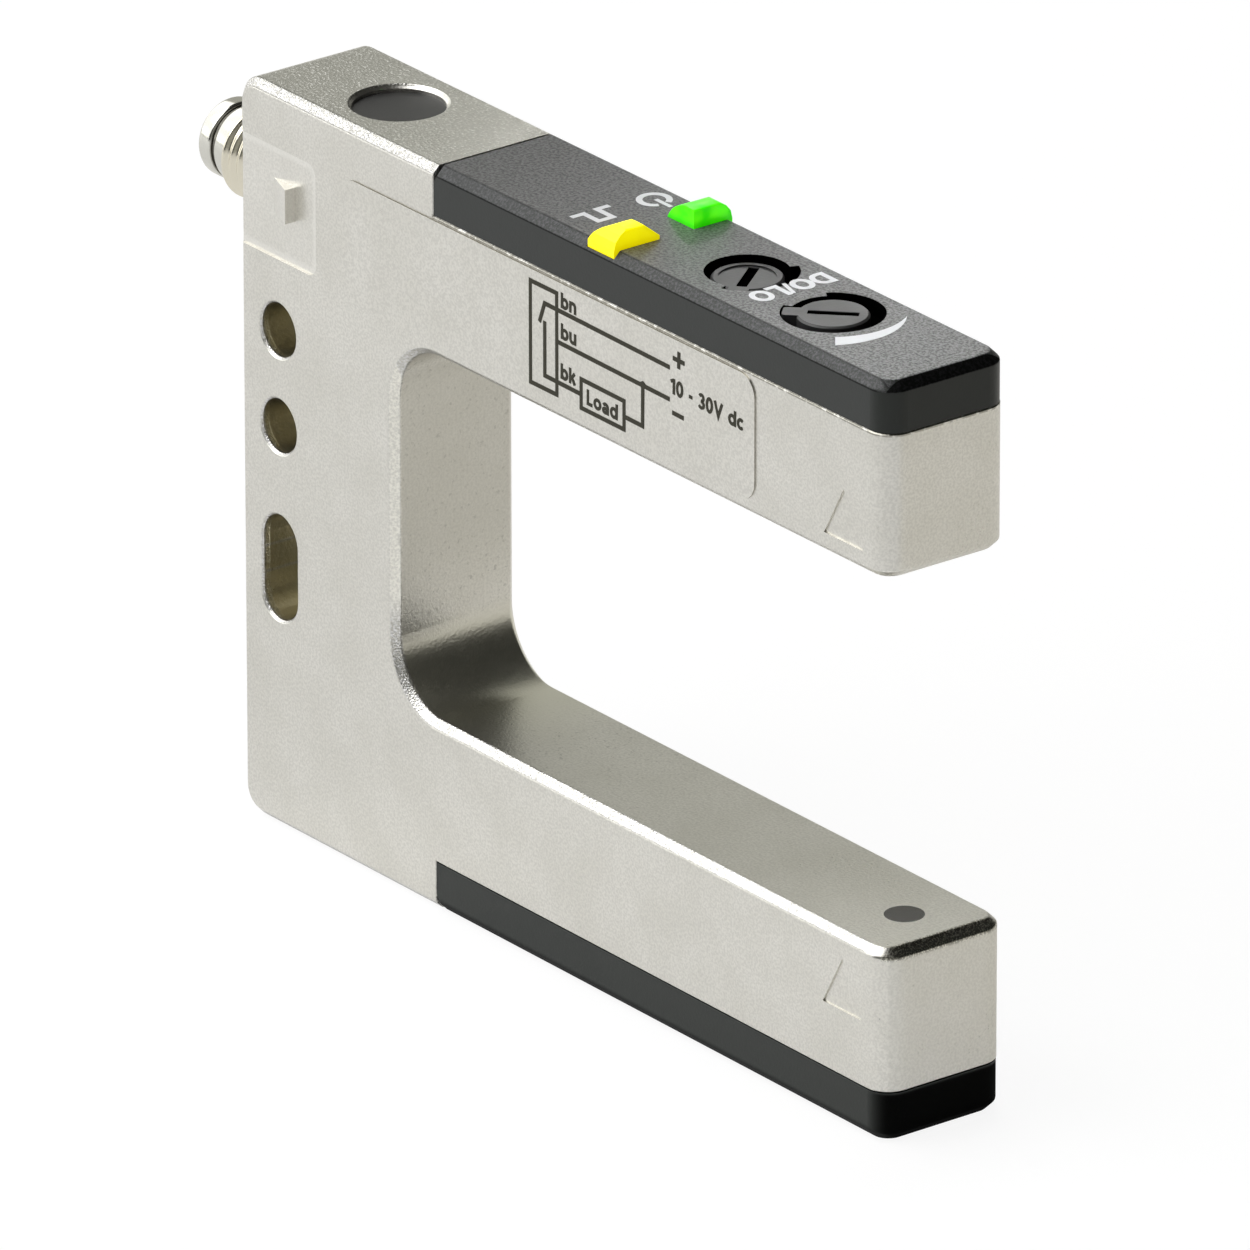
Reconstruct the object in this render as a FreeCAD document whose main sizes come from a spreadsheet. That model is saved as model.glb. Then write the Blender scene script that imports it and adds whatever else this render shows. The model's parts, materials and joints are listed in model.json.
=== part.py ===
import FreeCAD, Part
import math
import os
import Sketcher
from FreeCAD import Placement, Rotation, Vector

doc = FreeCAD.newDocument("ForkSensor")
sheet = doc.addObject("Spreadsheet::Sheet", "Dims")


# The independent sizes, in millimetres and degrees
# Drawing frame: X = 0 is the rear face, Z = 0 the underside, Y = 0 the middle plane.
SIZES = {
    "length": (80.4, "rear face to fork tips"),
    "thickness": (11.8, "across the two flat sides"),
    "height": (61.5, "underside to top"),
    "opening": (30.0, "clear gap between the two arms"),
    "spine": (19.7, "rear face to the bottom of the fork gap"),
    "cover_side": (4.1, "height of each cover's side wall"),
    "cover_start": (24.85, "rear face to the rear end of the covers"),
    "cover_proud": (0.1, "covers stand out this far above the metal top and underside"),
    "joint_gap": (0.05, "gap between a cover and the metal around it"),
    "metal_chamfer": (0.65, "chamfer along the outer edges of the casting"),
    "cover_chamfer": (0.75, "chamfer along the outer edges of the covers"),
    "edge_soft": (0.3, "rounding along both edges of each chamfer"),
    "cover_ramp": (0.4, "chamfer on the rear end of each cover"),
    "seat_break": (0.1, "broken edge of the casting along the joint"),
    "tip_round": (2.0, "plan radius at the fork tips"),
    "rear_round": (2.3, "corner radius at the rear"),
    "gap_round": (5.25, "inner corner radius of the fork gap"),
    "wall": (1.5, "side wall of the arms"),
    "tip_wall": (1.8, "end wall of the arms"),
    "rear_wall": (1.6, "metal behind the cover's rear end"),
    "arm_floor": (1.8, "wall between arm cavity and fork gap"),
    "cavity_round": (1.0, "corner radius of the arm cavities"),
    "ledge": (0.8, "width of the ledge that carries a circuit board"),
    "board_depth": (4.0, "ledge of the circuit board below the cover seat"),
    "hole_x": (5.0, "rear face to the fixing hole axes"),
    "hole_down": (19.9, "top to the upper fixing hole"),
    "hole_step": (7.95, "upper fixing hole to the lower one"),
    "hole_d": (4.4, "fixing hole diameter, clear for an M4 screw"),
    "slot_step": (11.8, "lower fixing hole to the middle of the slot"),
    "slot_run": (4.3, "distance between the slot's two end axes"),
    "hole_break": (0.2, "chamfer at the mouths of the fixing holes"),
    "bore_x": (12.8, "rear face to the vertical bore"),
    "bore_r": (3.65, "radius of the vertical bore"),
    "bore_mouth": (0.3, "chamfer at the mouth of the vertical bore"),
    "plug_drop": (0.55, "sealing plug below the rim of the bore"),
    "plug_long": (3.6, "length of the sealing plug"),
    "pass_low": (0.3, "passage roof below the circuit board"),
    "pass_roof": (2.35, "fork gap to the nearest side of a cable passage"),
    "pass_half": (2.2, "half width of the cable passages"),
    "plug_down": (9.6, "top to the connector axis"),
    "shell_r": (3.9, "outer radius of the connector thread"),
    "collar_wall": (0.5, "wall of the connector's front collar"),
    "shell_out": (8.95, "connector length outside the housing"),
    "thread_out": (5.25, "thread length outside the housing"),
    "shell_in": (7.4, "connector length inside the housing"),
    "shell_bore": (2.7, "inner radius of the connector shell"),
    "shank_wall": (0.9, "wall of the connector inside the housing"),
    "snap_x": (7.1, "snap groove in front of the rear face"),
    "snap_wide": (0.5, "width of the snap groove"),
    "snap_deep": (0.25, "depth of the snap groove"),
    "ring_x": (1.6, "rear face to the connector's sealing ring"),
    "ring_wide": (1.0, "width of the sealing ring groove"),
    "ring_deep": (0.6, "depth of the sealing ring groove"),
    "insert_face": (4.5, "contact carrier's face below the collar's end"),
    "insert_gap": (0.05, "clearance round the contact carrier"),
    "wire_hole": (2.6, "radius of the wire hole behind the connector"),
    "pin_r": (0.5, "radius of a contact pin"),
    "pin_tip": (1.1, "pin tips below the collar's end"),
    "pin_ring": (1.35, "radius of the circle of pins"),
    "pad_x": (10.0, "rear face to the end of the shallow pad"),
    "pad_down": (4.8, "top to the upper edge of the pad"),
    "pad_long": (9.2, "height of the pad"),
    "pad_deep": (0.2, "depth of the pad"),
    "pad_round": (1.0, "corner radius of the pad"),
    "wedge_x0": (4.45, "rear face to the foot of the locking wedge"),
    "wedge_x1": (7.1, "rear face to the step of the locking wedge"),
    "wedge_down": (7.5, "top to the upper end of the locking wedge"),
    "wedge_long": (2.8, "height of the locking wedge"),
    "wedge_rise": (0.95, "height of the wedge above the pad"),
    "film_x0": (13.4, "rear face to the marking film"),
    "film_back": (15.7, "fork tips to the far end of the marking film"),
    "film_down": (4.4, "top to the upper edge of the film"),
    "film_long": (10.15, "height of the marking film"),
    "film_thick": (0.12, "thickness of the marking film"),
    "film_round": (1.7, "corner radius of the marking film"),
    "beam_back": (5.05, "fork tips to the light beam"),
    "mark_half": (2.35, "half width of a beam mark"),
    "mark_high": (4.2, "height of a beam mark"),
    "mark_lower": (6.3, "fork gap down to the base of the lower mark"),
    "mark_upper": (1.75, "fork gap up to the base of the upper mark"),
    "mark_deep": (0.15, "depth of the beam marks"),
    "window_r": (1.55, "radius of a lens window"),
    "window_thick": (1.5, "thickness of a lens window"),
    "window_ledge": (0.35, "width of the ledge behind a window"),
    "skin": (1.4, "thickness of the covers' flat face"),
    "spigot": (1.5, "depth of a cover's locating rim"),
    "spigot_wall": (0.9, "thickness of the locating rim"),
    "spigot_fit": (0.1, "clearance of the rim in the arm cavity"),
    "seal_high": (0.7, "height of the cover seal"),
    "seal_deep": (0.45, "depth of the cover seal's groove"),
    "seal_slack": (0.05, "clearance above and below the cover seal"),
    "rib_thick": (0.9, "thickness of the bottom cover's ribs"),
    "rib_high": (1.5, "height of the bottom cover's ribs"),
    "foot_wide": (1.4, "width of the feet that hold a board down"),
    "foot_gap": (0.05, "gap between those feet and the board"),
    "gain_back": (13.9, "fork tips to the sensitivity adjuster"),
    "mode_step": (10.4, "sensitivity adjuster to the mode selector"),
    "well_r": (3.3, "radius of an adjuster's well"),
    "sector_r": (4.0, "radius of the tab's track"),
    "well_deep": (1.3, "depth of the well"),
    "well_floor": (1.3, "thickness of the floor under the well"),
    "well_rim": (0.45, "wall round an adjuster's well below the skin"),
    "mode_start": (-67.5, "clockwise end of the selector's track"),
    "mode_span": (135.0, "angle of the selector's track"),
    "gain_start": (-150.0, "clockwise end of the sensitivity track"),
    "gain_span": (300.0, "angle of the sensitivity track"),
    "stop_play": (1.0, "angle left between a tab and its stop"),
    "knob_r": (2.775, "radius of an adjuster disc"),
    "knob_lift": (0.15, "gap between disc and well floor"),
    "mode_drop": (0.4, "selector disc below the cover's top"),
    "gain_drop": (0.05, "sensitivity disc below the cover's top"),
    "tab_r": (3.8, "radius at a tab's tip"),
    "tab_half": (0.78, "half width of a tab"),
    "tab_angle": (14.0, "half angle that a tab takes of its track"),
    "key_long": (3.9, "length of a screwdriver slot"),
    "mode_key": (0.85, "width of the selector's screwdriver slot"),
    "gain_key": (0.7, "width of the sensitivity adjuster's slot"),
    "key_deep": (0.55, "depth of a screwdriver slot"),
    "dish_r": (2.2, "radius of the selector's dished centre"),
    "dish_deep": (0.12, "depth of the selector's dished centre"),
    "shaft_r": (1.6, "radius of an adjuster shaft"),
    "shaft_fit": (0.05, "running clearance of a shaft"),
    "shaft_seal_high": (0.8, "height of a shaft seal"),
    "shaft_seal_deep": (0.45, "depth of a shaft seal's groove"),
    "bead": (0.2, "snap bead that keeps a shaft in place"),
    "blade_half": (1.2, "half width of a shaft's driving blade"),
    "blade_thick": (0.8, "thickness of a driving blade"),
    "rotor_r": (1.75, "radius of a rotor"),
    "rotor_fit": (0.05, "running clearance of a rotor"),
    "rotor_high": (1.4, "height of a rotor"),
    "rotor_seat": (1.1, "depth of a rotor's seat"),
    "blade_fit": (0.02, "clearance of the blade in the rotor"),
    "part_high": (2.6, "height of the adjuster parts on the board"),
    "part_half": (3.2, "half width of the adjuster parts"),
    "pipe_step": (10.7, "mode selector to the light pipes"),
    "pipe_half": (1.62, "half width of a light pipe's head"),
    "pipe_rise": (1.45, "height of a light pipe above the cover"),
    "pipe_seat": (0.6, "depth of a light pipe's seat"),
    "pipe_end": (5.6, "middle plane to the outer end of a light pipe"),
    "out_inner": (1.3, "middle plane to the output pipe's inner end"),
    "pow_inner": (1.95, "middle plane to the power pipe's inner end"),
    "pipe_bow": (2.85, "radius of a light pipe's arched back"),
    "pipe_slope": (1.3, "length of the slope down to a light pipe's outer end"),
    "pipe_ramp": (1.6, "length of the ramp at the output pipe's inner end"),
    "pipe_edge": (0.15, "broken edge of a light pipe"),
    "pipe_fit": (0.08, "gap round a light pipe in its seat"),
    "stem_x": (1.3, "half width of a light pipe's stem"),
    "stem_y0": (2.1, "middle plane to a stem's inner face"),
    "stem_y1": (3.2, "middle plane to a stem's outer face"),
    "stem_gap": (0.2, "gap between a stem and its light source"),
    "board_thick": (1.0, "thickness of a circuit board"),
    "board_fit": (0.1, "clearance round a circuit board"),
    "led_high": (0.8, "height of an indicator light source"),
    "chip_high": (1.1, "height of a controller chip"),
    "small_high": (0.6, "height of the small board parts"),
    "diode_r": (1.5, "radius of an emitter or receiver diode"),
    "diode_gap": (0.95, "gap between a diode and its window"),
    "holder_half": (2.7, "half width of a diode holder"),
    "holder_fit": (0.05, "clearance round a diode in its holder"),
    "ribbon_half": (1.8, "half width of the linking ribbon"),
    "ribbon_thick": (0.3, "thickness of the linking ribbon"),
    "ribbon_x": (15.0, "rear face to the ribbon in the bore"),
    "ribbon_bend": (1.6, "bend radius of the ribbon"),
    "wire_r": (0.45, "radius of a connector wire"),
    "wire_bend": (1.2, "bend radius of a connector wire"),
    "wire_down": (1.3, "roof of the upper passage to the connector wires"),
}

for row, (alias, (value, meaning)) in enumerate(SIZES.items(), 1):
    sheet.set(f"A{row}", meaning)
    sheet.set(f"B{row}", str(value))
    sheet.setAlias(f"B{row}", alias)
doc.recompute()


class Size:
    """A size in mm together with the spreadsheet expression that it comes from."""

    def __init__(self, text, value):
        self.text = text
        self.value = value

    def __add__(self, other):
        other = as_size(other)
        return Size(f"({self.text} + {other.text})", self.value + other.value)

    def __sub__(self, other):
        other = as_size(other)
        return Size(f"({self.text} - {other.text})", self.value - other.value)

    def __rsub__(self, other):
        return as_size(other) - self

    def __mul__(self, factor):
        return Size(f"({self.text} * {factor})", self.value * factor)

    def __neg__(self):
        return Size(f"(0 - {self.text})", -self.value)

    __radd__ = __add__
    __rmul__ = __mul__


def as_size(number):
    return number if isinstance(number, Size) else Size(str(float(number)), float(number))


class Named:
    """Every size of the sheet under its own name."""


d = Named()
for alias, (value, meaning) in SIZES.items():
    setattr(d, alias, Size(f"Dims.{alias}", float(value)))


# Sizes that follow from the independent ones
half = d.thickness * 0.5
arm = (d.height - d.opening) * 0.5
beam_x = d.length - d.beam_back
gain_x = d.length - d.gain_back
mode_x = gain_x - d.mode_step
pipe_x = mode_x - d.pipe_step
hole_upper = d.height - d.hole_down
hole_lower = hole_upper - d.hole_step
slot_z = hole_lower - d.slot_step
plug_z = d.height - d.plug_down
collar_r = d.shell_bore + d.collar_wall
shank_r = d.shell_bore + d.shank_wall
metal_low = d.cover_proud
metal_top = d.height - d.cover_proud
cavity_x0 = d.cover_start + d.rear_wall
cavity_x1 = d.length - d.tip_wall
cavity_y = half - d.wall
narrow_y = cavity_y - d.ledge
board_low = d.cover_side + d.board_depth - d.board_thick
board_x0 = cavity_x0 + d.board_fit
board_x1 = cavity_x1 - d.board_fit
board_y = cavity_y - d.board_fit
ledge_low = d.cover_side + d.board_depth
well_bottom = d.height - d.well_deep
boss_bottom = well_bottom - d.well_floor
upper_board_top = d.height - board_low
diode_long = arm - d.window_thick - ledge_low - d.diode_gap
NORMAL = {"XY": 1, "YZ": 1, "XZ": -1}


def upside(z):
    """The height in the upper arm that mirrors the height z of the lower arm."""
    return d.height - z


def along(share):
    """A place along the circuit boards, from 0 at their rear to 1 at their front."""
    return board_x0 + (board_x1 - board_x0) * share


# Building blocks: bodies, sketches, solids
def new_body(name, flip=False, lift=None):
    """A body drawn in the drawing frame and set down in the part's frame.

    The part's origin is on the upper fixing hole's axis in the middle plane."""
    body = doc.addObject("PartDesign::Body", name)
    body.Label = name
    if flip:
        body.Placement = Placement(Vector(0, 0, 0), Rotation(Vector(1, 0, 0), 180))
    lift = as_size(0 if lift is None else lift)
    body.setExpression("Placement.Base.x", (-d.hole_x).text)
    body.setExpression("Placement.Base.z", (lift - hole_upper).text)
    return body


def new_sketch(body, plane, at=(0, 0, 0), turn=None):
    """A sketch on one of the body's origin planes, moved to the point at and turned."""
    x, y, z = [as_size(v) for v in at]
    sketch = body.newObject("Sketcher::SketchObject", body.Name + "_sketch")
    origin_plane = [f for f in body.Origin.OriginFeatures if f.Role == plane + "_Plane"][0]
    sketch.AttachmentSupport = [(origin_plane, "")]
    sketch.MapMode = "FlatFace"
    local = {"XY": (x, y, z), "YZ": (y, z, x), "XZ": (x, z, -y)}[plane]
    axis = Vector(0, 1, 0) if plane == "XZ" else Vector(0, 0, 1)
    angle = as_size(0 if turn is None else turn)
    base = Vector(*[v.value for v in local])
    sketch.AttachmentOffset = Placement(base, Rotation(axis, angle.value))
    for letter, v in zip("xyz", local):
        sketch.setExpression(f"AttachmentOffset.Base.{letter}", v.text)
    if turn is not None:
        sketch.setExpression("AttachmentOffset.Rotation.Angle", angle.text)
    return sketch


def hold(sketch, kind, geometry, point, size):
    """Fix one coordinate of a point to a size of the sheet."""
    index = sketch.addConstraint(
        Sketcher.Constraint(kind, -1, 1, geometry, point, size.value))
    sketch.setExpression(f"Constraints[{index}]", size.text)


def draw_polygon(sketch, points):
    points = [(as_size(u), as_size(v)) for u, v in points]
    first = sketch.GeometryCount
    count = len(points)
    for i in range(count):
        (u0, v0), (u1, v1) = points[i], points[(i + 1) % count]
        sketch.addGeometry(Part.LineSegment(
            Vector(u0.value, v0.value, 0), Vector(u1.value, v1.value, 0)))
    for i in range(count):
        sketch.addConstraint(
            Sketcher.Constraint("Coincident", first + i, 2, first + (i + 1) % count, 1))
    for i, (u, v) in enumerate(points):
        hold(sketch, "DistanceX", first + i, 1, u)
        hold(sketch, "DistanceY", first + i, 1, v)
    return sketch


def draw_circle(sketch, u, v, radius):
    u, v, radius = as_size(u), as_size(v), as_size(radius)
    index = sketch.addGeometry(
        Part.Circle(Vector(u.value, v.value, 0), Vector(0, 0, 1), radius.value))
    limit = sketch.addConstraint(Sketcher.Constraint("Radius", index, radius.value))
    sketch.setExpression(f"Constraints[{limit}]", radius.text)
    hold(sketch, "DistanceX", index, 3, u)
    hold(sketch, "DistanceY", index, 3, v)
    return sketch


def draw_arc_chain(sketch, centres, radius):
    """A closed outline of equal corner arcs round the centres, joined by straight lines."""
    centres = [(as_size(u), as_size(v)) for u, v in centres]
    radius = as_size(radius)
    count = len(centres)
    first = sketch.GeometryCount
    sweep = 2 * math.pi / count
    r = radius.value
    spots = []
    for i, (u, v) in enumerate(centres):
        start = -math.pi + sweep * i
        circle = Part.Circle(Vector(u.value, v.value, 0), Vector(0, 0, 1), r)
        sketch.addGeometry(Part.ArcOfCircle(circle, start, start + sweep))
        spots.append([Vector(u.value + r * math.cos(a), v.value + r * math.sin(a), 0)
                      for a in (start, start + sweep)])
    for i in range(count):
        sketch.addGeometry(Part.LineSegment(spots[i][1], spots[(i + 1) % count][0]))
    for i in range(count):
        line = first + count + i
        sketch.addConstraint(Sketcher.Constraint("Tangent", first + i, 2, line, 1))
        sketch.addConstraint(
            Sketcher.Constraint("Tangent", line, 2, first + (i + 1) % count, 1))
    limit = sketch.addConstraint(Sketcher.Constraint("Radius", first, r))
    sketch.setExpression(f"Constraints[{limit}]", radius.text)
    if count == 2:
        sketch.addConstraint(Sketcher.Constraint("Vertical", first + 2))
        sketch.addConstraint(Sketcher.Constraint("Vertical", first + 3))
        hold(sketch, "DistanceX", first, 3, centres[0][0])
        hold(sketch, "DistanceY", first, 3, centres[0][1])
        hold(sketch, "DistanceY", first + 1, 3, centres[1][1])
        return sketch
    for i in range(1, count):
        sketch.addConstraint(Sketcher.Constraint("Equal", first, first + i))
    for i, kind in enumerate(("Horizontal", "Vertical", "Horizontal", "Vertical")):
        sketch.addConstraint(Sketcher.Constraint(kind, first + count + i))
    hold(sketch, "DistanceX", first, 3, centres[0][0])
    hold(sketch, "DistanceY", first, 3, centres[0][1])
    hold(sketch, "DistanceX", first + 2, 3, centres[2][0])
    hold(sketch, "DistanceY", first + 2, 3, centres[2][1])
    return sketch


def draw_rectangle(sketch, u, v, radius=None):
    u0, u1 = [as_size(s) for s in u]
    v0, v1 = [as_size(s) for s in v]
    if radius is None:
        return draw_polygon(sketch, [(u0, v0), (u1, v0), (u1, v1), (u0, v1)])
    r = as_size(radius)
    corners = [(u0 + r, v0 + r), (u1 - r, v0 + r), (u1 - r, v1 - r), (u0 + r, v1 - r)]
    return draw_arc_chain(sketch, corners, r)


def extrude(body, sketch, plane, length, cut=False, toward=1, both=False):
    """Add or cut the sketch's outline along the plane's own axis."""
    length = as_size(length)
    feature = body.newObject("PartDesign::Pocket" if cut else "PartDesign::Pad",
                             body.Name + ("_cut" if cut else "_pad"))
    feature.Profile = sketch
    feature.Length = length.value
    feature.setExpression("Length", length.text)
    if both:
        feature.SideType = "Symmetric"
    natural = -NORMAL[plane] if cut else NORMAL[plane]
    feature.Reversed = (natural != toward) and not both
    sketch.Visibility = False
    return feature


def block(body, x, y, z, radius=None, cut=False):
    """A box between the given ranges, with optional rounded corners in plan."""
    z0, z1 = [as_size(s) for s in z]
    sketch = draw_rectangle(new_sketch(body, "XY", (0, 0, z0)), x, y, radius)
    return extrude(body, sketch, "XY", z1 - z0, cut)


def ring_block(body, outer, inner, outer_r, inner_r, z, cut=False):
    """A rectangular ring between two rounded rectangles."""
    z0, z1 = [as_size(s) for s in z]
    sketch = new_sketch(body, "XY", (0, 0, z0))
    draw_rectangle(sketch, outer[0], outer[1], outer_r)
    draw_rectangle(sketch, inner[0], inner[1], inner_r)
    return extrude(body, sketch, "XY", z1 - z0, cut)


def rod(body, axis, centre, radius, reach, cut=False, bore=None):
    """A round bar along X, Y or Z, hollow where a bore radius is given."""
    a0, a1 = [as_size(s) for s in reach]
    plane = {"X": "YZ", "Y": "XZ", "Z": "XY"}[axis]
    at = {"X": (a0, 0, 0), "Y": (0, a0, 0), "Z": (0, 0, a0)}[axis]
    sketch = new_sketch(body, plane, at)
    draw_circle(sketch, centre[0], centre[1], radius)
    if bore is not None:
        draw_circle(sketch, centre[0], centre[1], bore)
    return extrude(body, sketch, plane, a1 - a0, cut)


def dress(body, kind, size, wanted):
    """Round or chamfer the edges of the body so far that the test picks out."""
    doc.recompute()
    tip = body.Tip
    names = [f"Edge{i}" for i, edge in enumerate(tip.Shape.Edges, 1)
             if wanted(edge.BoundBox)]
    feature = body.newObject("PartDesign::" + kind, body.Name + "_" + kind.lower())
    feature.Base = (tip, names)
    prop = "Radius" if kind == "Fillet" else "Size"
    size = as_size(size)
    setattr(feature, prop, size.value)
    feature.setExpression(prop, size.text)
    doc.recompute()
    return feature


def near(number, target):
    return abs(number - as_size(target).value) < 0.004


def flat_at(low, high, target):
    return near(low, target) and near(high, target)


# The casting
def make_housing():
    body = new_body("housing")
    outline = [(0, metal_low), (d.cover_start, metal_low), (d.cover_start, d.cover_side),
               (d.length, d.cover_side), (d.length, arm), (d.spine, arm),
               (d.spine, upside(arm)), (d.length, upside(arm)),
               (d.length, upside(d.cover_side)), (d.cover_start, upside(d.cover_side)),
               (d.cover_start, metal_top), (0, metal_top)]
    sketch = draw_polygon(new_sketch(body, "XZ"), outline)
    extrude(body, sketch, "XZ", d.thickness, both=True)

    def across(b):
        return near(b.YMax - b.YMin, d.thickness)

    dress(body, "Fillet", d.gap_round, lambda b: across(b) and flat_at(b.XMin, b.XMax, d.spine))
    dress(body, "Fillet", d.rear_round, lambda b: across(b) and flat_at(b.XMin, b.XMax, 0))
    dress(body, "Fillet", d.tip_round,
          lambda b: flat_at(b.XMin, b.XMax, d.length) and near(b.YMax - b.YMin, 0)
          and b.ZMax - b.ZMin > 1)

    def on_sides(b, y):
        return flat_at(b.YMin, b.YMax, y) or flat_at(b.YMin, b.YMax, -y)

    def spared(b):
        """Edges along the cover seats, and the lines where a tip's rounding starts."""
        at_seat = any(flat_at(b.ZMin, b.ZMax, z) for z in (d.cover_side, upside(d.cover_side)))
        step = flat_at(b.XMin, b.XMax, d.cover_start)
        tangent = flat_at(b.XMin, b.XMax, d.length - d.tip_round)
        return at_seat or step or tangent

    def outer_edge(b):
        facing_gap = any(flat_at(b.ZMin, b.ZMax, z) for z in (arm, upside(arm)))
        around_tip = facing_gap and b.XMin > (d.length - d.tip_round).value - 0.01
        return (on_sides(b, half) and not spared(b)) or around_tip

    def chamfer_line(b):
        ends = on_sides(b, half) or on_sides(b, half - d.metal_chamfer)
        return ends and not spared(b)

    dress(body, "Chamfer", d.metal_chamfer, outer_edge)
    dress(body, "Fillet", d.edge_soft, chamfer_line)

    def seat_rim(b):
        return any(flat_at(b.ZMin, b.ZMax, z) for z in (d.cover_side, upside(d.cover_side))) \
            and not flat_at(b.XMin, b.XMax, d.cover_start)

    dress(body, "Chamfer", d.seat_break, seat_rim)

    # Arm cavities, open to the covers, with a ledge for each circuit board
    for over in (False, True):
        wide = (d.cover_side - 1, ledge_low)
        deep = (ledge_low - 1, arm - d.arm_floor)
        if over:
            wide = (upside(wide[1]), upside(wide[0]))
            deep = (upside(deep[1]), upside(deep[0]))
        block(body, (cavity_x0, cavity_x1), (-cavity_y, cavity_y), wide,
              d.cavity_round, cut=True)
        block(body, (cavity_x0 + d.ledge, cavity_x1 - d.ledge), (-narrow_y, narrow_y), deep,
              d.cavity_round, cut=True)

    # Vertical bore down the spine and the two passages into the arms
    bore_floor = ledge_low + d.pass_low - 0.4
    rod(body, "Z", (d.bore_x, 0), d.bore_r, (bore_floor, d.height + 1), cut=True)
    dress(body, "Chamfer", d.bore_mouth,
          lambda b: flat_at(b.ZMin, b.ZMax, metal_top)
          and near(b.XMax - b.XMin, d.bore_r * 2))
    low_pass = (ledge_low + d.pass_low, arm - d.pass_roof)
    high_pass = (upside(low_pass[1]), upside(low_pass[0]))
    for z in (low_pass, high_pass):
        block(body, (d.bore_x, cavity_x0 + 2), (-d.pass_half, d.pass_half), z, cut=True)

    # Connector bore and the smaller wire hole behind it
    rod(body, "X", (0, plug_z), shank_r, (-1, d.shell_in), cut=True)
    rod(body, "X", (0, plug_z), d.wire_hole, (d.shell_in - 1, d.bore_x), cut=True)

    # Two fixing holes and a fixing slot through the spine
    for z in (hole_upper, hole_lower):
        sketch = draw_circle(new_sketch(body, "XZ"), d.hole_x, z, d.hole_d * 0.5)
        extrude(body, sketch, "XZ", d.thickness + 2, cut=True, both=True)
    ends = [(d.hole_x, slot_z - d.slot_run * 0.5), (d.hole_x, slot_z + d.slot_run * 0.5)]
    sketch = draw_arc_chain(new_sketch(body, "XZ"), ends, d.hole_d * 0.5)
    extrude(body, sketch, "XZ", d.thickness + 2, cut=True, both=True)

    def hole_mouth(b):
        reach = (d.hole_x - d.hole_d * 0.5).value - 0.01, (d.hole_x + d.hole_d * 0.5).value + 0.01
        return on_sides(b, half) and b.XMin > reach[0] and b.XMax < reach[1]

    dress(body, "Chamfer", d.hole_break, hole_mouth)

    # Shallow pad at the rear with a locking wedge, on the marked side
    side = -half
    reach_out = (side - 1, side + d.pad_deep)
    sketch = new_sketch(body, "XZ", (0, reach_out[0], 0))
    pad_high = d.height - d.pad_down
    draw_rectangle(sketch, (-3, d.pad_x), (pad_high - d.pad_long, pad_high), d.pad_round)
    extrude(body, sketch, "XZ", reach_out[1] - reach_out[0], cut=True)
    foot = side + d.pad_deep
    wedge = [(d.wedge_x0, foot), (d.wedge_x1, foot - d.wedge_rise), (d.wedge_x1, foot),
             (d.wedge_x1 - 0.5, foot + 0.3), (d.wedge_x0 + 0.5, foot + 0.3)]
    wedge_low = d.height - d.wedge_down - d.wedge_long
    sketch = draw_polygon(new_sketch(body, "XY", (0, 0, wedge_low)), wedge)
    extrude(body, sketch, "XY", d.wedge_long)

    # Sunk triangles that mark the beam on both sides
    for base in (arm - d.mark_lower, upside(arm) + d.mark_upper):
        triangle = [(beam_x - d.mark_half, base), (beam_x + d.mark_half, base),
                    (beam_x, base + d.mark_high)]
        for start in (-half - 1, half - d.mark_deep):
            sketch = draw_polygon(new_sketch(body, "XZ", (0, start, 0)), triangle)
            extrude(body, sketch, "XZ", d.mark_deep + 1, cut=True)

    # Window bores through the arm floors, stepped to hold the windows
    for z in ((arm - d.window_thick, arm + 1),
              (upside(arm) - 1, upside(arm) + d.window_thick)):
        rod(body, "Z", (beam_x, 0), d.window_r, z, cut=True)
    for z in ((arm - d.arm_floor - 1, arm), (upside(arm), upside(arm) + d.arm_floor + 1)):
        rod(body, "Z", (beam_x, 0), d.window_r - d.window_ledge, z, cut=True)
    return body


def make_marking_film():
    """Thin printed film with rounded corners, stuck to the marked side."""
    body = new_body("marking_film")
    sketch = new_sketch(body, "XZ", (0, -half - d.film_thick, 0))
    film_high = d.height - d.film_down
    draw_rectangle(sketch, (d.film_x0, d.length - d.film_back),
                   (film_high - d.film_long, film_high), d.film_round)
    extrude(body, sketch, "XZ", d.film_thick)
    return body


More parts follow.
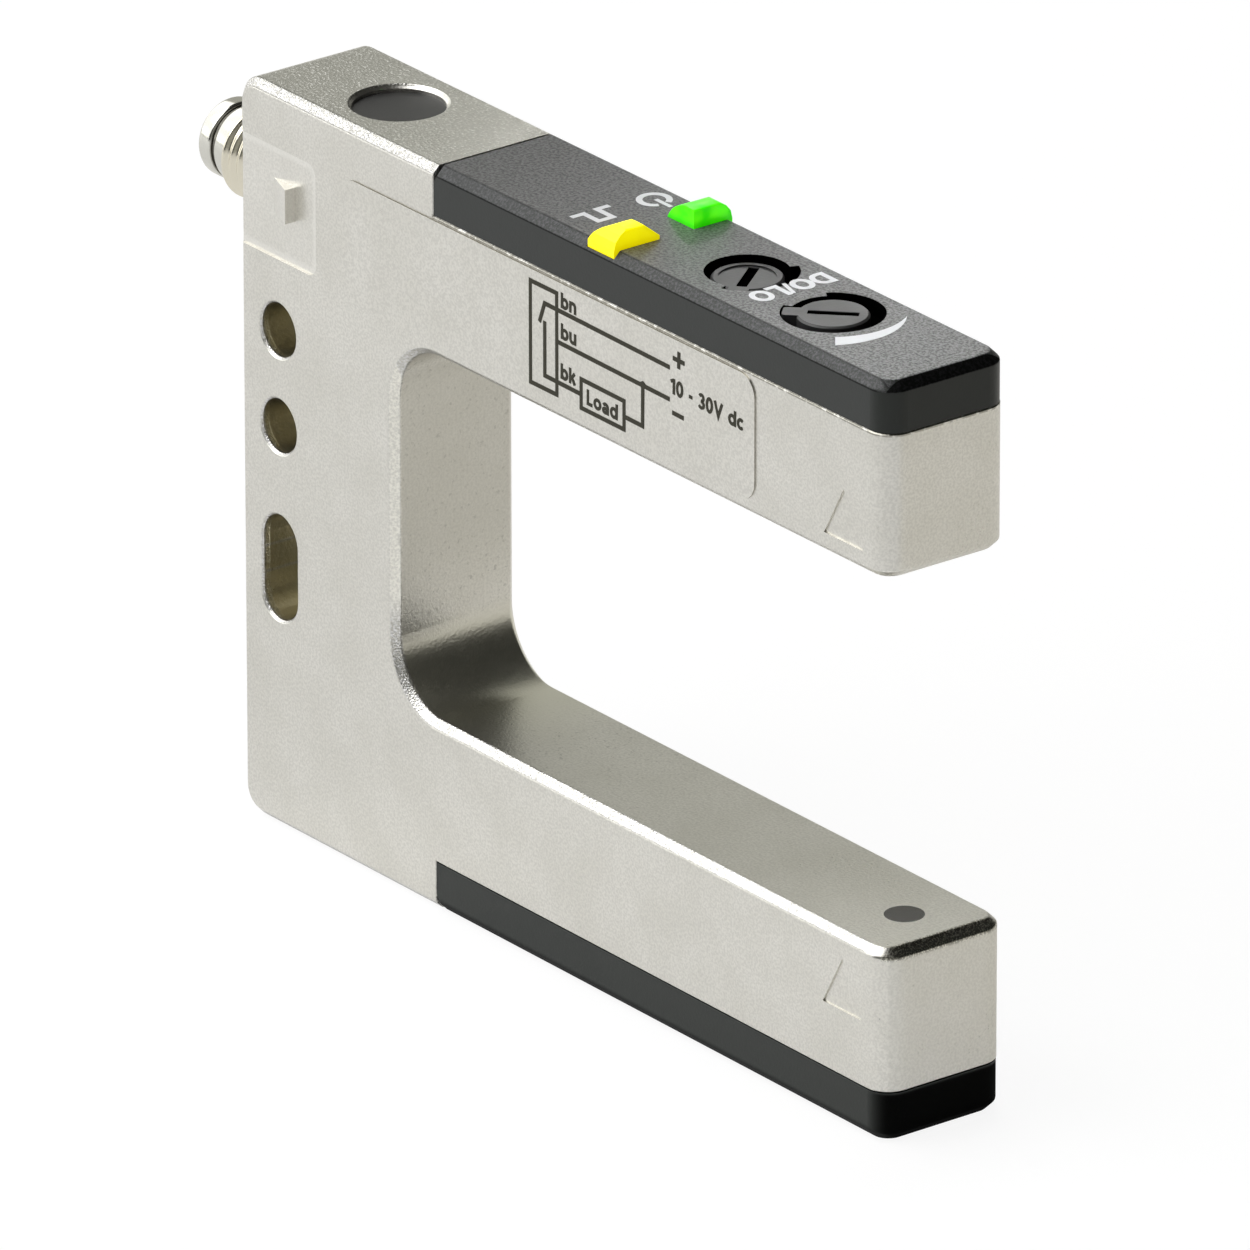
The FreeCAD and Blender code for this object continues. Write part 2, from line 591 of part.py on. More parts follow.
# The covers are drawn with their outer face at Z = 0 and the joint below it
def make_cover(name, on_top):
    body = new_body(name, flip=not on_top, lift=d.height if on_top else 0)
    y = half - d.joint_gap
    x0 = d.cover_start + d.joint_gap
    rim_x = (cavity_x0 + d.spigot_fit, cavity_x1 - d.spigot_fit)
    rim_y = cavity_y - d.spigot_fit
    rim_r = d.cavity_round - d.spigot_fit
    seat = -d.cover_side + d.joint_gap
    rim_end = seat - d.spigot
    block(body, (x0, d.length), (-y, y), (seat, 0))
    dress(body, "Fillet", d.tip_round,
          lambda b: flat_at(b.XMin, b.XMax, d.length) and near(b.YMax - b.YMin, 0))
    dress(body, "Chamfer", d.cover_chamfer,
          lambda b: flat_at(b.ZMin, b.ZMax, 0) and b.XMax > x0.value + 0.1)
    dress(body, "Chamfer", d.cover_ramp,
          lambda b: flat_at(b.XMin, b.XMax, x0) and near(b.ZMax, 0))
    dress(body, "Fillet", d.edge_soft,
          lambda b: (flat_at(b.ZMin, b.ZMax, 0) or flat_at(b.ZMin, b.ZMax, -d.cover_chamfer))
          and b.XMax > x0.value + 0.6)
    block(body, rim_x, (-rim_y, rim_y), (rim_end, seat + 0.4), rim_r)
    inner_x = (rim_x[0] + d.spigot_wall, rim_x[1] - d.spigot_wall)
    inner_y = rim_y - d.spigot_wall
    block(body, inner_x, (-inner_y, inner_y), (rim_end - 1, -d.skin), 0.3, cut=True)
    groove = seal_levels(seat)
    ring_block(body, ((rim_x[0] - 1, rim_x[1] + 1), (-rim_y - 1, rim_y + 1)),
               ((rim_x[0] + d.seal_deep, rim_x[1] - d.seal_deep),
                (-rim_y + d.seal_deep, rim_y - d.seal_deep)),
               1.5, rim_r - d.seal_deep, groove, cut=True)

    # Feet that hold the circuit board down on its ledge
    for x in (inner_x[0] - 0.4, inner_x[1] - 0.9):
        block(body, (x, x + 1.3), (-d.foot_wide, d.foot_wide),
              (-board_low + d.foot_gap, rim_end + 0.3))
    if on_top:
        cut_adjuster_wells(body)
        cut_pipe_seats(body)
    else:
        for share in (0.22, 0.49, 0.76):
            x = along(share)
            block(body, (x, x + d.rib_thick), (-inner_y - 0.3, inner_y + 0.3),
                  (-d.skin - d.rib_high, -d.skin + 0.3))
    return body


def seal_levels(seat):
    middle = seat - d.spigot * 0.5
    return (middle - d.seal_high * 0.5, middle + d.seal_high * 0.5)


def cut_adjuster_wells(body):
    """Wells, tab tracks and shaft holes of the two adjusters."""
    tracks = ((mode_x, d.mode_start, d.mode_span), (gain_x, d.gain_start, d.gain_span))
    floor = -d.well_deep - d.well_floor
    for x, start, span in tracks:
        rod(body, "Z", (x, 0), d.sector_r + d.well_rim, (floor, -d.skin + 0.2))
    for x, start, span in tracks:
        rod(body, "Z", (x, 0), d.well_r, (-d.well_deep, 1), cut=True)
        sketch = new_sketch(body, "XZ", (x, 0, 0), turn=start)
        draw_rectangle(sketch, (0, d.sector_r), (-d.well_deep, 1))
        track = body.newObject("PartDesign::Groove", "track")
        track.Profile = sketch
        track.ReferenceAxis = (sketch, ["V_Axis"])
        track.Angle = span.value
        track.setExpression("Angle", span.text)
        sketch.Visibility = False
        rod(body, "Z", (x, 0), d.shaft_r + d.shaft_fit, (floor - 1, -1), cut=True)


def cut_pipe_seats(body):
    """Seats of the two light pipes, open over the cover's edges, and their stem holes."""
    x = (pipe_x - d.pipe_half - d.pipe_fit, pipe_x + d.pipe_half + d.pipe_fit)
    stem = (pipe_x - d.stem_x - d.pipe_fit, pipe_x + d.stem_x + d.pipe_fit)
    block(body, x, (-half - 1, -d.out_inner + d.pipe_fit), (-d.pipe_seat, 1), cut=True)
    block(body, x, (d.pow_inner - d.pipe_fit, half + 1), (-d.pipe_seat, 1), cut=True)
    block(body, stem, (-d.stem_y1 - d.pipe_fit, -d.stem_y0 + d.pipe_fit),
          (-d.skin - 1, 1), cut=True)
    block(body, stem, (d.stem_y0 - d.pipe_fit, d.stem_y1 + d.pipe_fit),
          (-d.skin - 1, 1), cut=True)


def make_cover_seal(name, on_top):
    body = new_body(name, flip=not on_top, lift=d.height if on_top else 0)
    low, high = seal_levels(-d.cover_side + d.joint_gap)
    inset = d.spigot_fit + d.seal_deep
    ring_block(body, ((cavity_x0, cavity_x1), (-cavity_y, cavity_y)),
               ((cavity_x0 + inset, cavity_x1 - inset), (-cavity_y + inset, cavity_y - inset)),
               d.cavity_round, d.cavity_round - inset,
               (low + d.seal_slack, high - d.seal_slack))
    return body


# Adjusters: disc with tab and screwdriver slot, sealed shaft, driving blade
def make_knob(name, x, drop, start, key_width, dished):
    body = new_body(name)
    top = d.height - drop
    under = well_bottom + d.knob_lift
    angle = start + d.tab_angle + d.stop_play
    shaft_end = boss_bottom - 0.9
    rod(body, "Z", (x, 0), d.knob_r, (under, top))
    dress(body, "Chamfer", 0.15, lambda b: flat_at(b.ZMin, b.ZMax, top))
    tab = new_sketch(body, "XY", (x, 0, under), turn=angle)
    draw_rectangle(tab, (d.knob_r - 0.8, d.tab_r), (-d.tab_half, d.tab_half), 0.25)
    extrude(body, tab, "XY", top - under)
    rod(body, "Z", (x, 0), d.shaft_r, (shaft_end, under + 0.1))
    rod(body, "Z", (x, 0), d.shaft_r + d.bead, (boss_bottom - 0.45, boss_bottom - 0.1))
    seal_z = seal_span()
    rod(body, "Z", (x, 0), d.shaft_r + 0.5, seal_z, cut=True, bore=d.shaft_r - d.shaft_seal_deep)
    blade = new_sketch(body, "XY", (x, 0, blade_end()), turn=angle)
    draw_rectangle(blade, (-d.blade_half, d.blade_half), (-d.blade_thick * 0.5, d.blade_thick * 0.5))
    extrude(body, blade, "XY", shaft_end + 0.1 - blade_end())
    if dished:
        rod(body, "Z", (x, 0), d.dish_r, (top - d.dish_deep, top + 1), cut=True)
    key = new_sketch(body, "XY", (x, 0, top - d.key_deep), turn=angle)
    draw_rectangle(key, (-d.key_long * 0.5, d.key_long * 0.5), (-key_width * 0.5, key_width * 0.5))
    extrude(body, key, "XY", d.key_deep + 1, cut=True)
    return body


def seal_span():
    """Lower and upper level of the shaft seals, in the middle of the well floor."""
    middle = boss_bottom + d.well_floor * 0.5
    return (middle - d.shaft_seal_high * 0.5, middle + d.shaft_seal_high * 0.5)


def rotor_floor():
    return upper_board_top + d.part_high - d.rotor_seat


def blade_end():
    return rotor_floor() + 0.35


def make_shaft_seal(name, x):
    body = new_body(name)
    low, high = seal_span()
    rod(body, "Z", (x, 0), d.shaft_r + d.shaft_fit * 0.5, (low + 0.02, high - 0.02),
        bore=d.shaft_r - d.shaft_seal_deep)
    return body


def make_rotor(name, x, start):
    body = new_body(name)
    rod(body, "Z", (x, 0), d.rotor_r, (rotor_floor() + 0.02, rotor_floor() + d.rotor_high))
    angle = start + d.tab_angle + d.stop_play
    key = new_sketch(body, "XY", (x, 0, blade_end() - 0.05), turn=angle)
    wide = d.blade_thick * 0.5 + d.blade_fit
    draw_rectangle(key, (-d.rotor_r - 0.5, d.rotor_r + 0.5), (-wide, wide))
    extrude(body, key, "XY", 3, cut=True)
    return body


def make_adjuster_base(name, x, stretch):
    """The stator on the board that a rotor turns in."""
    body = new_body(name)
    y = d.part_half
    z0 = upper_board_top
    block(body, (x - y - stretch, x + y + stretch), (-y, y), (z0, z0 + d.part_high), 0.4)
    rod(body, "Z", (x, 0), d.rotor_r + d.rotor_fit, (rotor_floor(), z0 + d.part_high + 1), cut=True)
    for side in (-1, 1):
        for step in (-2.0, 0.0, 2.0):
            block(body, (x + step - 0.35, x + step + 0.35),
                  (y * side - 0.1, y * side + 0.1), (z0, z0 + 0.8), cut=True)
    return body


# Light pipes
def draw_arched(sketch, u0, u1, low, middle, high, radius):
    """A bar's outline: flat below, upright at u1, and an arched back from there to u0."""
    corners = [(u0, middle), (u0, low), (u1, low), (u1, high)]
    spots = [Vector(u.value, v.value, 0) for u, v in corners]
    for before, after in zip(spots, spots[1:]):
        sketch.addGeometry(Part.LineSegment(before, after))
    run, rise = (u1 - u0).value, (high - middle).value
    half_chord = math.hypot(run, rise) / 2
    drop = math.sqrt(radius.value ** 2 - half_chord ** 2) / (2 * half_chord)
    centre = Vector((u0 + u1).value / 2 + rise * drop, (middle + high).value / 2 - run * drop, 0)
    start = math.atan2(high.value - centre.y, u1.value - centre.x)
    end = math.atan2(middle.value - centre.y, u0.value - centre.x)
    circle = Part.Circle(centre, Vector(0, 0, 1), radius.value)
    sketch.addGeometry(Part.ArcOfCircle(circle, start, end))
    for i in range(4):
        sketch.addConstraint(Sketcher.Constraint("Coincident", i, 2, (i + 1) % 4, 1))
    for i, (u, v) in enumerate(corners):
        line, point = (i, 1) if i < 3 else (2, 2)
        hold(sketch, "DistanceX", line, point, u)
        hold(sketch, "DistanceY", line, point, v)
    limit = sketch.addConstraint(Sketcher.Constraint("Radius", 3, radius.value))
    sketch.setExpression(f"Constraints[{limit}]", radius.text)
    return sketch


def make_pipe(name, inner, sign):
    """An arched bar across the cover: its outer end slopes down over the cover's edge."""
    body = new_body(name)
    low = d.height - d.pipe_seat
    top = d.height + d.pipe_rise
    x0 = pipe_x - d.pipe_half
    x1 = pipe_x + d.pipe_half
    start = -d.pipe_end if sign < 0 else inner
    sketch = draw_arched(new_sketch(body, "XZ", (0, start, 0)), x0, x1, low, d.height, top,
                         d.pipe_bow)
    extrude(body, sketch, "XZ", d.pipe_end - inner)
    dress(body, "Fillet", d.pipe_edge,
          lambda b: flat_at(b.XMin, b.XMax, x1) and flat_at(b.ZMin, b.ZMax, top))
    over = top + 1
    crown = top + d.pipe_rise * 0.08
    end, slope = d.pipe_end * sign, d.pipe_slope * sign
    outer = [(end - slope, over), (end - slope, crown),
             (end - slope * 0.45, top - d.pipe_rise * 0.2),
             (end - slope * 0.12, top - d.pipe_rise * 0.55), (end, d.height), (end + sign, over)]
    cuts = [outer]
    if sign < 0:
        foot = -d.out_inner
        cuts.append([(foot - d.pipe_ramp, over), (foot - d.pipe_ramp, crown),
                     (foot, d.height + d.pipe_rise * 0.2), (foot + 1, over)])
    for outline in cuts:
        sketch = draw_polygon(new_sketch(body, "YZ", (x0 - 1, 0, 0)), outline)
        extrude(body, sketch, "YZ", d.pipe_half * 2 + 2, cut=True)
    stem_y = (d.stem_y0, d.stem_y1) if sign > 0 else (-d.stem_y1, -d.stem_y0)
    low = upper_board_top + d.led_high + d.stem_gap
    block(body, (pipe_x - d.stem_x, pipe_x + d.stem_x), stem_y,
          (low, d.height - d.pipe_seat + 0.3))
    return body


def make_led(name, sign):
    body = new_body(name)
    middle = (d.stem_y0 + d.stem_y1) * (0.5 * sign)
    z0 = upper_board_top
    block(body, (pipe_x - 0.8, pipe_x + 0.8), (middle - 0.5, middle + 0.5),
          (z0, z0 + d.led_high * 0.5))
    block(body, (pipe_x - 0.55, pipe_x + 0.55), (middle - 0.5, middle + 0.5),
          (z0 + d.led_high * 0.4, z0 + d.led_high))
    return body


# Circuit boards and what they carry
def make_board(name, over):
    body = new_body(name)
    z = (ledge_low - d.board_thick, ledge_low)
    if over:
        z = (upside(z[1]), upside(z[0]))
    block(body, (board_x0, board_x1), (-board_y, board_y), z, d.cavity_round)
    return body


def make_chip(name, x, over):
    """A flat chip with gull-wing leads on the board's inner side."""
    body = new_body(name)
    z0 = ledge_low
    levels = [(z0 + 0.1, z0 + d.chip_high), (z0, z0 + 0.35)]
    if over:
        levels = [(upside(b), upside(a)) for a, b in levels]
    block(body, (x - 2.5, x + 2.5), (-1.95, 1.95), levels[0])
    for step in (-1.9, -0.63, 0.63, 1.9):
        block(body, (x + step - 0.2, x + step + 0.2), (-2.8, 2.8), levels[1])
    return body


def make_small_parts(name, places, over):
    """Resistors and capacitors of one board, one small block each."""
    body = new_body(name)
    body.AllowCompound = True
    for share, y in places:
        x = along(share)
        z = (ledge_low, ledge_low + d.small_high)
        if over:
            z = (upside(z[1]), upside(z[0]))
        block(body, (x - 0.8, x + 0.8), (y - 0.4, y + 0.4), z)
    return body


def make_holder(name, over):
    """Block that sets a diode on the beam's axis between board and arm floor."""
    body = new_body(name)
    z = (ledge_low, arm - d.arm_floor)
    if over:
        z = (upside(z[1]), upside(z[0]))
    w = d.holder_half
    block(body, (beam_x - w, cavity_x1 - d.ledge), (-w, w), z, 0.4)
    rod(body, "Z", (beam_x, 0), d.diode_r + d.holder_fit, (z[0] - 1, z[1] + 1), cut=True)
    return body


def make_diode(name, over):
    """A round diode that stands on the board and looks through its window."""
    body = new_body(name, flip=over, lift=d.height if over else 0)
    base = ledge_low
    rod(body, "Z", (beam_x, 0), d.diode_r, (base, base + diode_long))
    dress(body, "Fillet", 1.2,
          lambda b: flat_at(b.ZMin, b.ZMax, base + diode_long))
    return body


def make_window(name, over):
    body = new_body(name)
    z = (arm - d.window_thick, arm)
    if over:
        z = (upside(z[1]), upside(z[0]))
    rod(body, "Z", (beam_x, 0), d.window_r, z)
    return body


# Connector
def make_connector_shell():
    body = new_body("connector_shell")
    centre = (0, plug_z)
    rod(body, "X", centre, shank_r, (-1, d.shell_in))
    rod(body, "X", centre, d.shell_r, (-d.thread_out, 0))
    dress(body, "Chamfer", 0.3, lambda b: flat_at(b.XMin, b.XMax, -d.thread_out))
    rod(body, "X", centre, collar_r, (-d.shell_out, -d.thread_out + 0.5))
    dress(body, "Fillet", 0.35, lambda b: flat_at(b.XMin, b.XMax, -d.shell_out))
    rod(body, "X", centre, collar_r + 0.5, (-d.snap_x - d.snap_wide * 0.5, -d.snap_x + d.snap_wide * 0.5),
        cut=True, bore=collar_r - d.snap_deep)
    rod(body, "X", centre, shank_r + 0.5, (d.ring_x, d.ring_x + d.ring_wide),
        cut=True, bore=shank_r - d.ring_deep)
    rod(body, "X", centre, d.shell_bore, (-d.shell_out - 1, d.shell_in + 1), cut=True)
    return body


def make_connector_ring():
    body = new_body("connector_seal")
    rod(body, "X", (0, plug_z), shank_r, (d.ring_x + 0.05, d.ring_x + d.ring_wide - 0.05),
        bore=shank_r - d.ring_deep)
    return body


def pin_places():
    """Pins 1, 3 and 4 of the small round connector, as seen on its face."""
    r = d.pin_ring
    return [(-r, plug_z - r * 0.45), (r, plug_z - r * 0.45), (as_size(0), plug_z + r * 0.75)]


def make_connector_insert():
    body = new_body("connector_insert")
    face = -d.shell_out + d.insert_face
    r = d.shell_bore - d.insert_gap
    rod(body, "X", (0, plug_z), r, (face, d.shell_in))
    rod(body, "X", (0, plug_z - r + 0.25), 0.55, (-d.shell_out + 1.6, face + 0.2))
    trim = new_sketch(body, "YZ", (-d.shell_out, 0, 0))
    draw_circle(trim, 0, plug_z, r + 2)
    draw_circle(trim, 0, plug_z, r)
    extrude(body, trim, "YZ", d.shell_out + d.shell_in, cut=True)
    for y, z in pin_places():
        rod(body, "X", (y, z), d.pin_r, (-d.shell_out, d.shell_in + 1), cut=True)
    return body


def make_pins():
    body = new_body("connector_pins")
    body.AllowCompound = True
    end = d.shell_in + 1.4
    for y, z in pin_places():
        rod(body, "X", (y, z), d.pin_r, (-d.shell_out + d.pin_tip, end))
    dress(body, "Chamfer", 0.2, lambda b: flat_at(b.XMin, b.XMax, -d.shell_out + d.pin_tip))
    return body


def make_plug():
    body = new_body("bore_plug")
    top = metal_top - d.plug_drop
    rod(body, "Z", (d.bore_x, 0), d.bore_r, (top - d.plug_long, top))
    return body


# Wires and ribbon follow rounded paths
def rounded_path(points, bend):
    """A wire of straight runs through the points, its corners rounded to the bend radius."""
    edges = []
    last = points[0]
    for before, corner, after in zip(points, points[1:], points[2:]):
        a = (before - corner).normalize()
        b = (after - corner).normalize()
        opening = a.getAngle(b)
        back = bend / math.tan(opening / 2)
        p, q = corner + a * back, corner + b * back
        inward = (a + b).normalize()
        middle = corner + inward * (bend / math.sin(opening / 2) - bend)
        edges.append(Part.makeLine(last, p))
        edges.append(Part.Arc(p, middle, q).toShape())
        last = q
    edges.append(Part.makeLine(last, points[-1]))
    return Part.Wire(edges)


def swept(name, shapes):
    """A part whose shape is set by code, set down in the part's frame like the bodies."""
    part = doc.addObject("Part::Feature", name)
    part.Label = name
    part.Shape = shapes[0] if len(shapes) == 1 else Part.makeCompound(shapes)
    part.setExpression("Placement.Base.x", (-d.hole_x).text)
    part.setExpression("Placement.Base.z", (-hole_upper).text)
    return part


def sweep_along(path, profile):
    return path.makePipeShell([profile], True, False)


def make_wires():
    solids = []
    start_x = (d.shell_in + 1.4).value
    board_under = upside(ledge_low).value
    lane = (upside(ledge_low + d.pass_low) - d.wire_down).value
    end_x = (cavity_x0 + 3.2).value
    for (y, z), run_y in zip(pin_places(), (-1.3, 1.3, 0.0)):
        points = [Vector(start_x, y.value, z.value),
                  Vector(start_x + 4.0, y.value, z.value),
                  Vector(start_x + 8.5, run_y, lane),
                  Vector(end_x, run_y, lane),
                  Vector(end_x, run_y, board_under)]
        path = rounded_path(points, d.wire_bend.value)
        profile = Part.Wire(Part.makeCircle(d.wire_r.value, points[0], Vector(1, 0, 0)))
        solids.append(sweep_along(path, profile))
    return swept("connector_wires", solids)


def make_ribbon():
    """Flat ribbon from the lower board up the bore to the upper board."""
    low_board = ledge_low.value
    low_lane = (arm - d.pass_roof - d.ribbon_thick).value
    x = d.ribbon_x.value
    end = (cavity_x0 + 7.0).value
    rise = end - 3.0
    thick = d.ribbon_thick.value / 2
    points = [Vector(end, 0, low_board + thick), Vector(rise + 1.4, 0, low_board + thick),
              Vector(rise - 2.0, 0, low_lane), Vector(x, 0, low_lane),
              Vector(x, 0, d.height.value - low_lane),
              Vector(rise - 2.0, 0, d.height.value - low_lane),
              Vector(rise + 1.4, 0, d.height.value - low_board - thick),
              Vector(end, 0, d.height.value - low_board - thick)]
    path = rounded_path(points, d.ribbon_bend.value)
    w = d.ribbon_half.value
    corners = [Vector(end, -w, low_board), Vector(end, w, low_board),
               Vector(end, w, low_board + 2 * thick), Vector(end, -w, low_board + 2 * thick)]
    profile = Part.makePolygon(corners + corners[:1])
    return swept("linking_ribbon", [sweep_along(path, profile)])


# Share of the board's length and distance from the middle plane, for each small part
UPPER_PARTS = [(0.10, 2.6), (0.17, -2.6), (0.42, 0.0), (0.48, 2.4), (0.48, -2.4), (0.76, 1.6),
               (0.76, -1.6)]
LOWER_PARTS = [(0.20, 2.6), (0.20, -2.6), (0.50, 1.4), (0.50, -1.4), (0.68, 0.0), (0.76, 1.8)]

SEVERAL = ("connector_pins", "connector_wires", "upper_small_parts", "lower_small_parts")

parts = [
    make_housing(),
    make_marking_film(),
    make_cover("top_cover", True),
    make_cover("bottom_cover", False),
    make_cover_seal("top_cover_seal", True),
    make_cover_seal("bottom_cover_seal", False),
    make_knob("mode_selector_knob", mode_x, d.mode_drop, d.mode_start, d.mode_key, True),
    make_knob("sensitivity_knob", gain_x, d.gain_drop, d.gain_start, d.gain_key, False),
    make_shaft_seal("mode_shaft_seal", mode_x),
    make_shaft_seal("sensitivity_shaft_seal", gain_x),
    make_rotor("mode_rotor", mode_x, d.mode_start),
    make_rotor("sensitivity_rotor", gain_x, d.gain_start),
    make_adjuster_base("mode_switch", mode_x, 0.2),
    make_adjuster_base("sensitivity_trimmer", gain_x, 0.0),
    make_pipe("output_light_pipe", d.out_inner, -1),
    make_pipe("power_light_pipe", d.pow_inner, 1),
    make_led("output_led", -1),
    make_led("power_led", 1),
    make_board("upper_board", True),
    make_board("lower_board", False),
    make_chip("controller_chip", along(0.3), True),
    make_chip("driver_chip", along(0.34), False),
    make_small_parts("upper_small_parts", UPPER_PARTS, True),
    make_small_parts("lower_small_parts", LOWER_PARTS, False),
    make_holder("receiver_holder", True),
    make_holder("emitter_holder", False),
    make_diode("receiver_diode", True),
    make_diode("emitter_diode", False),
    make_window("receiver_window", True),
    make_window("emitter_window", False),
    make_connector_shell(),
    make_connector_ring(),
    make_connector_insert(),
    make_pins(),
    make_plug(),
    make_wires(),
    make_ribbon(),
]
doc.recompute()


# Check every object and shape, then write one file per part
for item in doc.Objects:
    if "Invalid" in item.State or "Error" in item.State:
        raise RuntimeError(f"{item.Name} did not build: {item.State}")
for part in parts:
    if part.Shape.isNull() or not part.Shape.isValid() or part.Shape.Volume <= 0:
        raise RuntimeError(f"{part.Label} has no sound shape")
    if len(part.Shape.Solids) > 1 and part.Label not in SEVERAL:
        raise RuntimeError(f"{part.Label} is in {len(part.Shape.Solids)} pieces")
os.makedirs("parts", exist_ok=True)
for part in parts:
    part.Shape.exportStep(f"parts/{part.Label}.step")
    box = part.Shape.BoundBox
    print(f"{part.Label:24s} solids {len(part.Shape.Solids)} volume {part.Shape.Volume:9.2f} "
          f"x {box.XMin:7.2f} {box.XMax:7.2f} y {box.YMin:6.2f} {box.YMax:6.2f} "
          f"z {box.ZMin:7.2f} {box.ZMax:7.2f}")
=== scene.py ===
# %% [markdown]
# # A fork sensor, dressed in Blender
#
# The object is a photoelectric fork sensor: a flat, U-shaped metal casting with dark
# plastic covers on both arms, two adjusters and two lit indicators on top, and a small
# threaded connector at the rear. A light beam crosses the gap between the fork's tips.
#
# The solids come from the CAD model and stay where they are. This script gives every
# solid its finish and adds what the solids only hint at: the connector's thread and
# the printed marks. Everything is in metres, in the CAD model's own frame.

# %% Load the fixed frame
import json
import math
import bpy
import numpy as np
from mathutils import Matrix, Vector


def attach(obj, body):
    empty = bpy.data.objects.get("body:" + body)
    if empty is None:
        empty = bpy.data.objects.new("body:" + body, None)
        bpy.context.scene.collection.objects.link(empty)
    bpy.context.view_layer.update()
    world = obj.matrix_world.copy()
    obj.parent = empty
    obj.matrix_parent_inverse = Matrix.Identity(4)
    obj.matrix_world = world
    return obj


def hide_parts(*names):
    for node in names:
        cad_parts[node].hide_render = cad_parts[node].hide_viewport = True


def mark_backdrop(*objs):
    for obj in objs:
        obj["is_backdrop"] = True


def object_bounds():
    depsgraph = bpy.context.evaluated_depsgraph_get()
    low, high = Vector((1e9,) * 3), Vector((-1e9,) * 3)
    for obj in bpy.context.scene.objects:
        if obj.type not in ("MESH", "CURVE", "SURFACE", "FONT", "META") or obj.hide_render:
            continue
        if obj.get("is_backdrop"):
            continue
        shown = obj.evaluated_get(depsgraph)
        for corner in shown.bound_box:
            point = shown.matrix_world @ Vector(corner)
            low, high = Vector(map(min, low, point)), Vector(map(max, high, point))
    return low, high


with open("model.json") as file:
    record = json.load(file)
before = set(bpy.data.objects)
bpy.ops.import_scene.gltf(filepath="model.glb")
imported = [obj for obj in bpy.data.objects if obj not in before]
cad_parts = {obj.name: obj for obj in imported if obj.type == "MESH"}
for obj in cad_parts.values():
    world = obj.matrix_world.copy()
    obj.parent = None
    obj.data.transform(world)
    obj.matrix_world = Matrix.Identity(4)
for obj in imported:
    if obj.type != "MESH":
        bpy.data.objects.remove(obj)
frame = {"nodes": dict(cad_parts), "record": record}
cad_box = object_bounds()
print("nodes:", len(frame["nodes"]))

# %% [markdown]
# ## Where things are
#
# Drawings of the sensor measure in millimetres from its rear face (X), its middle plane
# (Y) and its underside (Z). The frame's origin is on the upper fixing hole instead. One
# small function shifts drawing millimetres into frame metres for new meshes, and the
# materials do the reverse, so that every place below is written as it is drawn.

# %% Drawing millimetres to frame metres
MM = 0.001
HOLE_X, HOLE_Z = 5.0, 41.6
LENGTH, THICKNESS, HEIGHT = 80.4, 11.8, 61.5
NEAR_SIDE = -THICKNESS / 2
ROOT_X = 19.7                           # the upright face at the root of the fork
TIP_X = LENGTH - 2.0                    # where the rounded tips begin
GAP_LOW, GAP_HIGH = 15.75, 45.75        # the two faces of the gap
PAD_X, PAD_LOW, PAD_HIGH = 10.0, HEIGHT - 14.0, HEIGHT - 4.8
SEAT_Z = HEIGHT - 4.15                  # the top cover's seat
MODE_X, GAIN_X = LENGTH - 24.3, LENGTH - 13.9


def at(x, y, z):
    """Points in the frame, in metres: drawing coordinates less the origin's place."""
    x, y, z = np.broadcast_arrays(np.asarray(x, float), np.asarray(y, float), np.asarray(z, float))
    return np.stack([x - HOLE_X, y, z - HOLE_Z], axis=-1) * MM


low, high = [np.array(c) / MM for c in cad_box]
print("CAD box in mm:", low.round(2), high.round(2))
print("fork tip in the frame:", at(LENGTH, 0.0, GAP_LOW))

# %% [markdown]
# ## Meshes from numpy
#
# A turned or swept form is a grid of points: rows along one parameter and columns
# along the other. Four neighbours make a face. When the grid closes on itself, the
# last row or column joins the first, so there is no seam. The helper works on whole
# arrays, which is much faster than a Python loop over points.

# %% From a grid of points to a mesh object
def mesh_object(name, points, faces, smooth=True):
    """An object at the origin whose mesh has these points (n, 3) and faces (m, 3 or 4)."""
    mesh = bpy.data.meshes.new(name)
    mesh.from_pydata(points, [], faces.tolist())
    mesh.validate()
    mesh.polygons.foreach_set("use_smooth", np.full(len(mesh.polygons), smooth))
    mesh.update()
    obj = bpy.data.objects.new(name, mesh)
    bpy.context.scene.collection.objects.link(obj)
    return obj


def grid_faces(rows, columns, close_rows, close_columns):
    """Quads of a grid: each joins a point, its right neighbour and the two below them."""
    i = np.arange(rows if close_rows else rows - 1)[:, None]
    j = np.arange(columns if close_columns else columns - 1)[None, :]
    i1 = (i + 1) % rows
    j1 = (j + 1) % columns
    quads = np.stack([i * columns + j, i * columns + j1, i1 * columns + j1, i1 * columns + j], -1)
    return quads.reshape(-1, 4)


print("quads of a 5 by 8 tube:", len(grid_faces(5, 8, False, True)))

# %% [markdown]
# ## Shader maths in plain Python
#
# Node trees are hard to read when every Math node is wired by hand. A small class
# wraps a socket, so that `a * 0.5 + b` adds the Math nodes by itself. A mask is such a
# number from 0 to 1 that says where something is: `a * b` is where both are, `a | b`
# where either is, and `1 - a` where it isn't. All other nodes come from one method that
# is given their type, settings and inputs.

